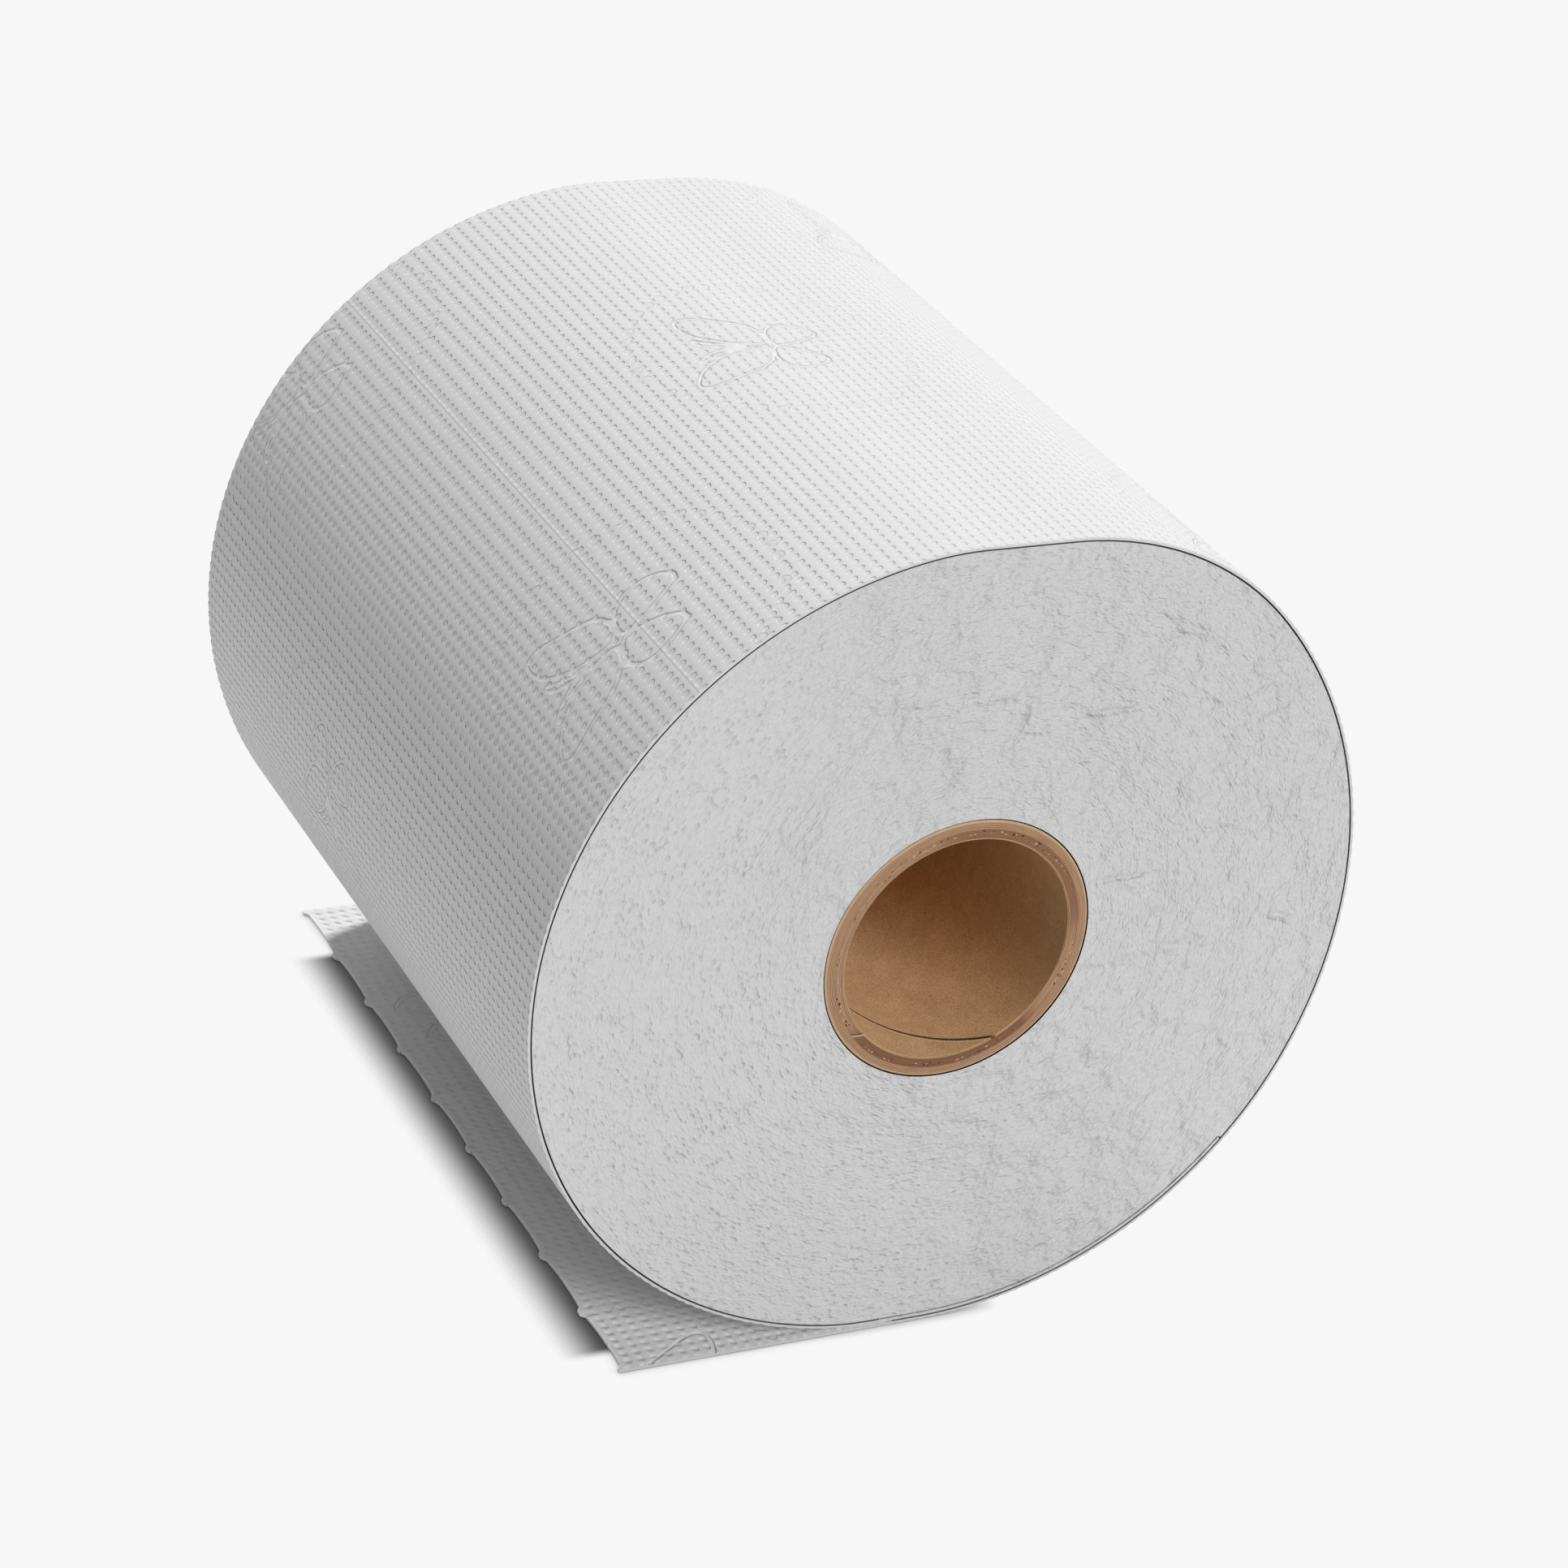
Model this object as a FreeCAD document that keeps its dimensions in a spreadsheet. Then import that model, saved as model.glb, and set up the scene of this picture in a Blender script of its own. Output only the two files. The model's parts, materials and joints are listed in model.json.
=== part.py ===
import FreeCAD, Part
import math
import os

import Sketcher
from FreeCAD import Vector

# Toilet paper roll lying on its side, its torn end on the floor. Millimetres, +Z up.
# The origin is on the floor under the middle of the roll. The core's axis runs along Y
# and the front end face looks towards -Y. The web leaves the roll at the flat spot
# that the roll rests on, and its torn end points towards -X.

driving_values = {
    "web_width": (113.0, "width of the paper, and length of the core"),
    "roll_height": (107.7, "wound roll from its flat spot to its top"),
    "flat_spot": (8.0, "flat that the soft roll rests on"),
    "top_left": (4.0, "flat on top, from above the core's axis to the left"),
    "top_right": (7.0, "the same to the right"),
    "left_draw": (13.85, "how much tighter than a circle both left corners turn"),
    "left_slack": (0.25, "how much flatter than a circle the left side is"),
    "low_right_draw": (3.55, "how much tighter the low right corner turns"),
    "high_right_draw": (10.35, "how much tighter the high right corner turns"),
    "right_slack": (4.85, "how much flatter the right side is"),
    "web_thickness": (0.36, "one embossed sheet"),
    "turn_gap": (0.24, "air under the loose last turn"),
    "lap_angle": (52.0, "degrees, from the floor to where the last turn settles on the roll"),
    "tail_reach": (38.3, "from the core's axis to the teeth of the torn end"),
    "sheet_length": (127.3, "from one perforation to the next"),
    "crease_width": (0.4, "crease along a perforation, at the surface"),
    "crease_depth": (0.12, "depth of that crease"),
    "tear_count": (9, "scallops along the torn end"),
    "tear_depth": (0.5, "height of a tooth over the ends of its scallops"),
    "tear_sag": (0.3, "further depth in the middle of a scallop"),
    "tooth_width": (0.9, "paper left between two scallops, at the tip of the tooth"),
    "tooth_foot": (2.1, "the same at its foot"),
    "core_bore": (30.0, "inside of the board tube"),
    "core_wall": (2.6, "wall of the board tube"),
    "seam_lead": (55.0, "travel of the tube's spiral seam in one turn"),
    "seam_angle": (147.0, "degrees from the top to the seam's front end, by way of +X"),
    "seam_width": (0.5, "gap between the edges of the inner ply, in the bore"),
    "seam_depth": (0.2, "thickness of the inner ply"),
}

# Expressions that several constraints use.
pitch_text = "(Spec.web_thickness + Spec.turn_gap)"
radius_texts = {
    "low right": "Spec.roll_height / 2 - Spec.low_right_draw",
    "right": "Spec.roll_height / 2 + Spec.right_slack",
    "high right": "Spec.roll_height / 2 - Spec.high_right_draw",
    "high left": "Spec.roll_height / 2 - Spec.left_draw",
    "left": "Spec.roll_height / 2 + Spec.left_slack",
    "low left": "Spec.roll_height / 2 - Spec.left_draw",
}
axis_text = f"{pitch_text} + Spec.roll_height / 2"
outer_radius_text = "Spec.core_bore / 2 + Spec.core_wall"
bore_radius_text = "Spec.core_bore / 2"
scallop_text = "Spec.web_width / Spec.tear_count"

# A sketch's own origin, as geometry and point, and its two axes.
root_point = (-1, 1)
x_axis = -1
y_axis = -2


def make_spec(doc):
    """Spreadsheet with one aliased cell for each driving value."""
    spec = doc.addObject("Spreadsheet::Sheet", "Spec")
    for row, (alias, (value, note)) in enumerate(driving_values.items(), start=1):
        spec.set(f"A{row}", alias)
        spec.set(f"B{row}", str(value))
        spec.set(f"C{row}", note)
        spec.setAlias(f"B{row}", alias)
    doc.recompute()
    return spec


# Sketch helpers

def origin_feature(body, role):
    return next(feature for feature in body.Origin.OriginFeatures if feature.Role == role)


def new_sketch(body, name, role):
    """Sketch on one of the body's own origin planes."""
    sketch = body.newObject("Sketcher::SketchObject", name)
    sketch.AttachmentSupport = [(origin_feature(body, role), "")]
    sketch.MapMode = "FlatFace"
    return sketch


def line(start_x, start_y, end_x, end_y):
    return Part.LineSegment(Vector(start_x, start_y, 0), Vector(end_x, end_y, 0))


def add(sketch, kind, *references):
    return sketch.addConstraint(Sketcher.Constraint(kind, *references))


def bind(sketch, expression, kind, *references):
    """Dimension whose value follows an expression on the spreadsheet."""
    index = add(sketch, kind, *references)
    sketch.setExpression(f"Constraints[{index}]", expression)


def add_named(sketch, shapes):
    """Adds a dictionary of shapes and returns their numbers in the sketch by name."""
    return {name: sketch.addGeometry(shape, False) for name, shape in shapes.items()}


def add_polygon(sketch, corners):
    """Closed ring of lines, returned as their numbers in the sketch."""
    ends = corners[1:] + corners[:1]
    sides = [sketch.addGeometry(Part.LineSegment(Vector(*first, 0), Vector(*last, 0)), False)
             for first, last in zip(corners, ends)]
    for side, following in zip(sides, sides[1:] + sides[:1]):
        add(sketch, "Coincident", side, 2, following, 1)
    return sides


def add_circle(sketch, section, expression, radius):
    """Circle about the core's axis."""
    circle = Part.Circle(Vector(0, section.axis_z, 0), Vector(0, 0, 1), radius)
    number = sketch.addGeometry(circle, False)
    add(sketch, "PointOnObject", number, 3, y_axis)
    bind(sketch, axis_text, "DistanceY", *root_point, number, 3, section.axis_z)
    bind(sketch, expression, "Radius", number, radius)


def pad_across(body, name, sketch):
    """Pad over the width of the web, half to each side of the middle."""
    pad = body.newObject("PartDesign::Pad", name)
    pad.Profile = sketch
    pad.SideType = "Symmetric"
    pad.setExpression("Length", "Spec.web_width")
    return pad


# Section of the wound web

def touching_arc(first, last, radius):
    """Arc about two smaller circles that touches each from outside, counter-clockwise.

    Circles are (x, z, radius), and the arc is that with its end angles in degrees.
    """
    x, z, first_radius = first
    last_x, last_z, last_radius = last
    to_first = radius - first_radius
    to_last = radius - last_radius
    span = math.hypot(last_x - x, last_z - z)
    along = (to_first ** 2 - to_last ** 2 + span ** 2) / (2 * span)
    inwards = math.sqrt(to_first ** 2 - along ** 2)
    step_x = (last_x - x) / span
    step_z = (last_z - z) / span
    middle_x = x + step_x * along - step_z * inwards
    middle_z = z + step_z * along + step_x * inwards
    start = math.degrees(math.atan2(z - middle_z, x - middle_x))
    end = math.degrees(math.atan2(last_z - middle_z, last_x - middle_x))
    if end < start:
        end += 360
    return middle_x, middle_z, radius, start, end


class Section:
    """Arcs of the roll's section, in the XZ plane, from the spreadsheet's values."""

    def __init__(self, spec):
        half_height = spec.roll_height / 2
        self.pitch = spec.web_thickness + spec.turn_gap
        self.half_flat = spec.flat_spot / 2
        self.axis_z = self.pitch + half_height
        self.top_z = self.pitch + spec.roll_height
        self.top_start = spec.top_right
        self.top_end = -spec.top_left
        self.tail_x = -spec.tail_reach

        low_right = self.low_corner(self.half_flat, half_height - spec.low_right_draw)
        low_left = self.low_corner(-self.half_flat, half_height - spec.left_draw)
        high_right = self.high_corner(self.top_start, half_height - spec.high_right_draw)
        high_left = self.high_corner(self.top_end, half_height - spec.left_draw)
        right = touching_arc(low_right, high_right, half_height + spec.right_slack)
        left = touching_arc(high_left, low_left, half_height + spec.left_slack)

        # The last turn rises from the floor on a wider arc than the corner under it,
        # and meets that corner's arc at lap_angle.
        lap_angle = math.radians(spec.lap_angle)
        corner = low_right[2]
        lap = corner + self.pitch / (1 - math.cos(lap_angle))
        self.lap_x = self.half_flat - (lap - corner) * math.sin(lap_angle)
        lap_end = spec.lap_angle - 90

        self.arcs = {
            "lap": (self.lap_x, lap, lap, -90, lap_end),
            "low right": (*low_right, lap_end, right[3]),
            "right": right,
            "high right": (*high_right, right[4], 90),
            "high left": (*high_left, 90, left[3]),
            "left": left,
            "low left": (*low_left, left[4], 270),
        }

    def low_corner(self, x, radius):
        """Centre and radius of a corner's arc that ends on the flat spot."""
        return x, self.pitch + radius, radius

    def high_corner(self, x, radius):
        """Centre and radius of a corner's arc that ends on the flat on top."""
        return x, self.top_z - radius, radius

    def arc(self, name, depth):
        """An arc of the surface that lies depth inside the outside of the last turn."""
        x, z, radius, start, end = self.arcs[name]
        circle = Part.Circle(Vector(x, z, 0), Vector(0, 0, 1), radius - depth)
        return Part.ArcOfCircle(circle, math.radians(start), math.radians(end))

    def turn(self, start_x, depth):
        """One turn, counter-clockwise from its flat on the floor side."""
        top_z = self.top_z - depth
        return {
            "flat": line(start_x, depth, self.lap_x, depth),
            "lap": self.arc("lap", depth),
            "low right": self.arc("low right", depth),
            "right": self.arc("right", depth),
            "high right": self.arc("high right", depth),
            "top": line(self.top_start, top_z, self.top_end, top_z),
            "high left": self.arc("high left", depth),
            "left": self.arc("left", depth),
            "low left": self.arc("low left", depth),
        }

    def lap_start(self, depth):
        """The first part of a further turn, as far as the web is loose."""
        turn = self.turn(-self.half_flat, depth)
        return {name: turn[name] for name in ("flat", "lap")}

    def along_web(self, distance):
        """Point and direction on the last turn, distance along it from the teeth.

        None where the web has run on under the last turn.
        """
        for shape in self.turn(self.tail_x, 0).values():
            edge = shape.toShape()
            if distance <= edge.Length:
                at = edge.getParameterByLength(distance)
                return edge.valueAt(at), edge.tangentAt(at)
            distance -= edge.Length
        return None


def join_tangent(sketch, path):
    for first, following in zip(path, path[1:]):
        add(sketch, "Tangent", first, 2, following, 1)


def follow_turn(sketch, turn, outer):
    """Keeps a deeper turn parallel to the outermost one."""
    for name, number in turn.items():
        if name in ("flat", "top"):
            add(sketch, "Horizontal", number)
        else:
            add(sketch, "Coincident", number, 3, outer[name], 3)


def size_outer_turn(sketch, outer, spec, section):
    """Dimensions on the outermost turn, which the deeper ones follow."""
    add(sketch, "PointOnObject", outer["flat"], 1, x_axis)
    add(sketch, "Horizontal", outer["flat"])
    bind(sketch, "Spec.tail_reach", "DistanceX", outer["flat"], 1, *root_point, spec.tail_reach)
    add(sketch, "Horizontal", outer["top"])
    bind(sketch, "Spec.top_right", "DistanceX", *root_point, outer["top"], 1, spec.top_right)
    bind(sketch, "Spec.top_left", "DistanceX", outer["top"], 2, *root_point, spec.top_left)
    bind(sketch, f"{pitch_text} + Spec.roll_height",
         "DistanceY", *root_point, outer["top"], 1, section.top_z)
    for name, text in radius_texts.items():
        bind(sketch, text, "Radius", outer[name], section.arcs[name][2])
    for name in ("low right", "low left"):
        bind(sketch, f"{pitch_text} + {radius_texts[name]}",
             "DistanceY", *root_point, outer[name], 3, section.arcs[name][1])
    half_flat = spec.flat_spot / 2
    bind(sketch, "Spec.flat_spot / 2", "DistanceX", *root_point, outer["low right"], 3, half_flat)
    bind(sketch, "Spec.flat_spot / 2", "DistanceX", outer["low left"], 3, *root_point, half_flat)
    bind_lap_angle(sketch, outer["lap"], spec)


def bind_lap_angle(sketch, arc, spec):
    bind(sketch, "Spec.lap_angle * 1 deg", "Angle", arc, math.radians(spec.lap_angle))


def draw_section(sketch, spec, section):
    """Closed outline of the web and the turns it is wound on, as one spiral.

    The outside runs once round the roll, once more under the loose turn and on to where
    the turns are wound tight. The inside of the web comes back the same way.
    """
    pitch = section.pitch
    thickness = spec.web_thickness
    outer = add_named(sketch, section.turn(section.tail_x, 0))
    second = add_named(sketch, section.turn(-section.half_flat, pitch))
    third = add_named(sketch, section.lap_start(2 * pitch))
    under = add_named(sketch, section.turn(section.tail_x, thickness))
    under_second = add_named(sketch, section.lap_start(pitch + thickness))
    outside = [*outer.values(), *second.values(), *third.values()]
    inside = [*under.values(), *under_second.values()]
    join_tangent(sketch, outside)
    join_tangent(sketch, inside)
    for turn in (second, third, under, under_second):
        follow_turn(sketch, turn, outer)
    size_outer_turn(sketch, outer, spec, section)

    # The gap under the loose turn ends in a step, square to the web.
    gap_end = Part.LineSegment(sketch.getPoint(outside[-1], 2), sketch.getPoint(inside[-1], 2))
    step = sketch.addGeometry(gap_end, False)
    add(sketch, "Coincident", step, 1, outside[-1], 2)
    add(sketch, "Coincident", step, 2, inside[-1], 2)
    add(sketch, "PointOnObject", outer["lap"], 3, step)
    bind_lap_angle(sketch, outside[-1], spec)

    torn = sketch.addGeometry(line(section.tail_x, 0, section.tail_x, thickness), False)
    add(sketch, "Coincident", torn, 1, outer["flat"], 1)
    add(sketch, "Coincident", torn, 2, under["flat"], 1)
    add(sketch, "Vertical", torn)
    bind(sketch, "Spec.web_thickness", "DistanceY", torn, 1, torn, 2, thickness)


# Cuts in the web

def press_crease(body, spec, section, number):
    """V-shaped crease along one perforation, across the whole web.

    Its place comes from the length of web between it and the torn end, so its sketch
    is drawn where that length ends.
    """
    found = section.along_web(number * spec.sheet_length)
    if found is None:
        return
    surface, along = found
    inwards = Vector(-along.y, along.x, 0)
    bottom = surface + inwards * spec.crease_depth
    top = surface - inwards * spec.crease_depth
    one_side = top + along * spec.crease_width
    other_side = top - along * spec.crease_width

    sketch = new_sketch(body, f"Perforation{number}", "XZ_Plane")
    flank, lid, other_flank = add_polygon(
        sketch, [(point.x, point.y) for point in (bottom, one_side, other_side)])
    add(sketch, "Equal", flank, other_flank)
    add(sketch, "DistanceX", *root_point, flank, 1, bottom.x)
    add(sketch, "DistanceY", *root_point, flank, 1, bottom.y)
    add(sketch, "Angle", lid, math.atan2(-along.y, -along.x))
    bind(sketch, "2 * Spec.crease_width", "Distance", lid, 2 * spec.crease_width)
    bind(sketch, "sqrt(Spec.crease_width ^ 2 + 4 * Spec.crease_depth ^ 2)",
         "Distance", flank, math.hypot(spec.crease_width, 2 * spec.crease_depth))

    crease = body.newObject("PartDesign::Pocket", f"Crease{number}")
    crease.Profile = sketch
    crease.Midplane = True
    crease.Type = "ThroughAll"
    body.Document.recompute()


def draw_scallop(sketch, spec):
    """What the tear took away before the first tooth, in the XY plane."""
    scallop = spec.web_width / spec.tear_count
    middle_y = (scallop - spec.web_width) / 2
    tip_x = -spec.tail_reach
    foot_x = tip_x + spec.tear_depth
    tip_half = (scallop - spec.tooth_width) / 2
    foot_half = (scallop - spec.tooth_foot) / 2
    front_tip = Vector(tip_x, middle_y - tip_half, 0)
    back_tip = Vector(tip_x, middle_y + tip_half, 0)
    front_foot = Vector(foot_x, middle_y - foot_half, 0)
    back_foot = Vector(foot_x, middle_y + foot_half, 0)
    deepest = Vector(foot_x + spec.tear_sag, middle_y, 0)
    mouth = sketch.addGeometry(Part.LineSegment(back_tip, front_tip), False)
    front_flank = sketch.addGeometry(Part.LineSegment(front_tip, front_foot), False)
    bow = sketch.addGeometry(Part.Arc(front_foot, deepest, back_foot), False)
    back_flank = sketch.addGeometry(Part.LineSegment(back_foot, back_tip), False)
    add(sketch, "Coincident", mouth, 2, front_flank, 1)
    add(sketch, "Coincident", front_flank, 2, bow, 1)
    add(sketch, "Coincident", bow, 2, back_flank, 1)
    add(sketch, "Coincident", back_flank, 2, mouth, 1)

    add(sketch, "Vertical", mouth)
    add(sketch, "Vertical", bow, 1, bow, 2)
    add(sketch, "Equal", front_flank, back_flank)
    bind(sketch, "Spec.tail_reach", "DistanceX", mouth, 2, *root_point, spec.tail_reach)
    bind(sketch, f"{scallop_text} - Spec.tooth_width",
         "DistanceY", mouth, 2, mouth, 1, 2 * tip_half)
    bind(sketch, "(Spec.web_width - Spec.tooth_width) / 2",
         "DistanceY", mouth, 2, *root_point, (spec.web_width - spec.tooth_width) / 2)
    bind(sketch, "Spec.tear_depth", "DistanceX", mouth, 2, bow, 1, spec.tear_depth)
    bind(sketch, f"{scallop_text} - Spec.tooth_foot", "DistanceY", bow, 1, bow, 2, 2 * foot_half)
    half_text = f"(({scallop_text} - Spec.tooth_foot) / 2)"
    bind(sketch, f"({half_text} ^ 2 + Spec.tear_sag ^ 2) / (2 * Spec.tear_sag)",
         "Radius", bow, (foot_half ** 2 + spec.tear_sag ** 2) / (2 * spec.tear_sag))


def tear_off(body, spec):
    """Scallops and teeth that tearing along a perforation left on the web's end."""
    sketch = new_sketch(body, "TearScallop", "XY_Plane")
    draw_scallop(sketch, spec)
    pocket = body.newObject("PartDesign::Pocket", "TornScallop")
    pocket.Profile = sketch
    pocket.Reversed = True
    pocket.setExpression("Length", pitch_text)
    body.Document.recompute()
    pattern = body.newObject("PartDesign::LinearPattern", "TornEnd")
    pattern.Originals = [pocket]
    pattern.Direction = (origin_feature(body, "Y_Axis"), [""])
    pattern.setExpression("Length", f"Spec.web_width - {scallop_text}")
    pattern.setExpression("Occurrences", "Spec.tear_count")
    body.Tip = pattern
    body.Document.recompute()


# Seam of the board tube

def cut_seam(body, spec, section):
    """Spiral gap between the edges of the tube's inner ply, open to the bore."""
    sketch = new_sketch(body, "SeamSection", "YZ_Plane")
    # The sketch's first axis is moved onto the core's axis, and the sketch turned about it.
    turn_to_seam = FreeCAD.Rotation(Vector(1, 0, 0), spec.seam_angle)
    sketch.AttachmentOffset = FreeCAD.Placement(Vector(0, section.axis_z, 0), turn_to_seam)
    sketch.setExpression("AttachmentOffset.Base.y", axis_text)
    sketch.setExpression("AttachmentOffset.Rotation.Angle", "Spec.seam_angle")

    front_x = -spec.web_width / 2 - 2 * spec.seam_width
    back_x = front_x + spec.seam_width
    low_y = spec.core_bore / 2 - spec.seam_depth
    high_y = spec.core_bore / 2 + spec.seam_depth
    bottom, back, top, front = add_polygon(
        sketch, [(front_x, low_y), (back_x, low_y), (back_x, high_y), (front_x, high_y)])
    add(sketch, "Horizontal", bottom)
    add(sketch, "Horizontal", top)
    add(sketch, "Vertical", back)
    add(sketch, "Vertical", front)
    bind(sketch, "Spec.seam_width", "DistanceX", bottom, 1, bottom, 2, spec.seam_width)
    bind(sketch, "2 * Spec.seam_depth", "DistanceY", back, 1, back, 2, 2 * spec.seam_depth)
    bind(sketch, "Spec.web_width / 2 + 2 * Spec.seam_width",
         "DistanceX", bottom, 1, *root_point, -front_x)
    bind(sketch, f"{bore_radius_text} - Spec.seam_depth",
         "DistanceY", *root_point, bottom, 1, low_y)

    seam = body.newObject("PartDesign::SubtractiveHelix", "Seam")
    seam.Profile = sketch
    seam.ReferenceAxis = (sketch, ["H_Axis"])
    seam.Mode = "pitch-height-angle"
    seam.setExpression("Pitch", "Spec.seam_lead")
    seam.setExpression("Height", "Spec.web_width + 3 * Spec.seam_width")
    body.Document.recompute()


# Sub-parts

def make_paper_roll(doc, spec, section):
    """The whole web as one solid: wound turns, loose last turn and torn end."""
    body = doc.addObject("PartDesign::Body", "PaperRoll")
    body.Label = "paper_roll"
    sketch = new_sketch(body, "WebSection", "XZ_Plane")
    draw_section(sketch, spec, section)
    add_circle(sketch, section, outer_radius_text, spec.core_bore / 2 + spec.core_wall)
    pad_across(body, "WoundWeb", sketch)
    doc.recompute()

    visible_sheets = math.ceil(math.pi * spec.roll_height / spec.sheet_length) + 1
    for number in range(1, visible_sheets + 1):
        press_crease(body, spec, section, number)
    tear_off(body, spec)
    return body


def make_core_tube(doc, spec, section):
    """Spiral-wound board tube that the first turn of paper is glued to."""
    body = doc.addObject("PartDesign::Body", "CoreTube")
    body.Label = "core_tube"
    sketch = new_sketch(body, "TubeSection", "XZ_Plane")
    add_circle(sketch, section, outer_radius_text, spec.core_bore / 2 + spec.core_wall)
    add_circle(sketch, section, bore_radius_text, spec.core_bore / 2)
    pad_across(body, "Tube", sketch)
    doc.recompute()
    cut_seam(body, spec, section)
    return body


def check(doc, bodies):
    """Stops before anything is written if a feature failed or a solid is faulty."""
    for item in doc.Objects:
        if "Invalid" in item.State or "Error" in item.State:
            raise RuntimeError(f"{item.Name} failed: {item.State}")
    for body in bodies:
        shape = body.Shape
        if shape.isNull() or not shape.isValid():
            raise RuntimeError(f"{body.Label} has no valid shape")
        if len(shape.Solids) != 1:
            raise RuntimeError(f"{body.Label} is {len(shape.Solids)} solids, not one")
        box = shape.optimalBoundingBox(False)
        print(f"{body.Label}: {shape.Volume / 1000:.2f} cm3, x {box.XMin:.2f} to {box.XMax:.2f},"
              f" y {box.YMin:.2f} to {box.YMax:.2f}, z {box.ZMin:.2f} to {box.ZMax:.2f}")


def main():
    doc = FreeCAD.newDocument("ToiletPaperRoll")
    spec = make_spec(doc)
    section = Section(spec)
    bodies = [make_paper_roll(doc, spec, section), make_core_tube(doc, spec, section)]
    doc.recompute()
    check(doc, bodies)
    os.makedirs("parts", exist_ok=True)
    for body in bodies:
        body.Shape.exportStep(f"parts/{body.Label}.step")


main()
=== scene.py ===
import bpy
import json
import math
import numpy as np
from mathutils import Matrix, Vector, noise
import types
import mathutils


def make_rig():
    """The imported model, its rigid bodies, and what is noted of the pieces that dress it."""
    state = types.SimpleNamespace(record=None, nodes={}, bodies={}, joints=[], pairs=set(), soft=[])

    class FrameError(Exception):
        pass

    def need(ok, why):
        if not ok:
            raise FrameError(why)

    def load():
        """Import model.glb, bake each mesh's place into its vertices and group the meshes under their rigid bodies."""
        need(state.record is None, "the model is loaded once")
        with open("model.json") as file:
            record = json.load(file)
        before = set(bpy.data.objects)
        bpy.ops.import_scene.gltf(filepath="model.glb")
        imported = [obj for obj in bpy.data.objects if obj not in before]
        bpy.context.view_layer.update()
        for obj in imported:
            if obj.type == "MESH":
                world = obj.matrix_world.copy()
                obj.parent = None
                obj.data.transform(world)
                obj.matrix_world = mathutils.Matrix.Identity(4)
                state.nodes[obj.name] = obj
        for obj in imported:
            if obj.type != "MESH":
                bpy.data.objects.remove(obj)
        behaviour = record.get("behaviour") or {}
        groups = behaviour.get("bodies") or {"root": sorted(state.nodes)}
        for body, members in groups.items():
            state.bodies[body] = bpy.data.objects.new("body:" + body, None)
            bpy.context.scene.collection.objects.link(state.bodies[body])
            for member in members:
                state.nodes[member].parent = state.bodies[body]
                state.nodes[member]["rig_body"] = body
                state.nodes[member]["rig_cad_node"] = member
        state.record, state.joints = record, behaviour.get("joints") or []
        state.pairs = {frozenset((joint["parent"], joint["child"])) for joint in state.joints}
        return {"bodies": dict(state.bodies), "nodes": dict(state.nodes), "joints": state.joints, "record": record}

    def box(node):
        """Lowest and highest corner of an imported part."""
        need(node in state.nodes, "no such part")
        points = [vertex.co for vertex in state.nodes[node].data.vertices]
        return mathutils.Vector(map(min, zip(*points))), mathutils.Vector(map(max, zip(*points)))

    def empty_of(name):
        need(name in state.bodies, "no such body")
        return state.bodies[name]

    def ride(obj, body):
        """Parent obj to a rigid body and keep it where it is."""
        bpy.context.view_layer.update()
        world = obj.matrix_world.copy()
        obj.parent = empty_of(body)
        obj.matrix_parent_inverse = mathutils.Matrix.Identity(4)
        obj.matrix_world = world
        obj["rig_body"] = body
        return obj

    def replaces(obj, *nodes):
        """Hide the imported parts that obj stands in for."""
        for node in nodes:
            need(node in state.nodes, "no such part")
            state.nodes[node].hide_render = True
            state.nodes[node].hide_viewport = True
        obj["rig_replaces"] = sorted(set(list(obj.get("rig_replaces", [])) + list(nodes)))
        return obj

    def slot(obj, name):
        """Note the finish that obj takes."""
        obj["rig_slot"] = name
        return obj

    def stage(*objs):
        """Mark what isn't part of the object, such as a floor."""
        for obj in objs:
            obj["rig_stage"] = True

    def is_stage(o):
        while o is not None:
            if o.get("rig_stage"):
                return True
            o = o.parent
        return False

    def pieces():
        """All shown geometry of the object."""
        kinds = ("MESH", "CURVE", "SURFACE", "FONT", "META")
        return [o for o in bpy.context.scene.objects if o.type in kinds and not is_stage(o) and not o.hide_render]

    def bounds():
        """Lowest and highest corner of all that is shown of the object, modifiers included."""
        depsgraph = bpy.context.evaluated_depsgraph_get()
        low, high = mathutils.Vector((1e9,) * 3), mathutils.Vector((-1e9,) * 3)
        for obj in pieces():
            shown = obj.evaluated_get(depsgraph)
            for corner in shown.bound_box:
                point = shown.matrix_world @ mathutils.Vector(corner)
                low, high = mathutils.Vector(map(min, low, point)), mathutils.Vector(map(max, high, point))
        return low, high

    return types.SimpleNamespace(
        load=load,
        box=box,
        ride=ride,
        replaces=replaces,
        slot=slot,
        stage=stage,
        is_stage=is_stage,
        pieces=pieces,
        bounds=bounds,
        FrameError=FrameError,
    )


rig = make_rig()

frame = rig.load()
mm = 0.001


def plainBox(corners):
    return [list(corner) for corner in corners]


cadSize = plainBox(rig.bounds())
bpy.ops.object.select_all(action="DESELECT")

# The roll lies on its side with the core along Y. Its paper is one long web, wound on
# the core: tight turns, a loose last turn, and a torn end flat on the floor at -X.
paperLow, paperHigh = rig.box("paper_roll")
coreLow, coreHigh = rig.box("core_tube")
frontY = paperLow.y
backY = paperHigh.y
webWidth = backY - frontY
rollTop = paperHigh.z
axisZ = (coreLow.z + coreHigh.z) / 2
coreRadius = (coreHigh.x - coreLow.x) / 2

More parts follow.
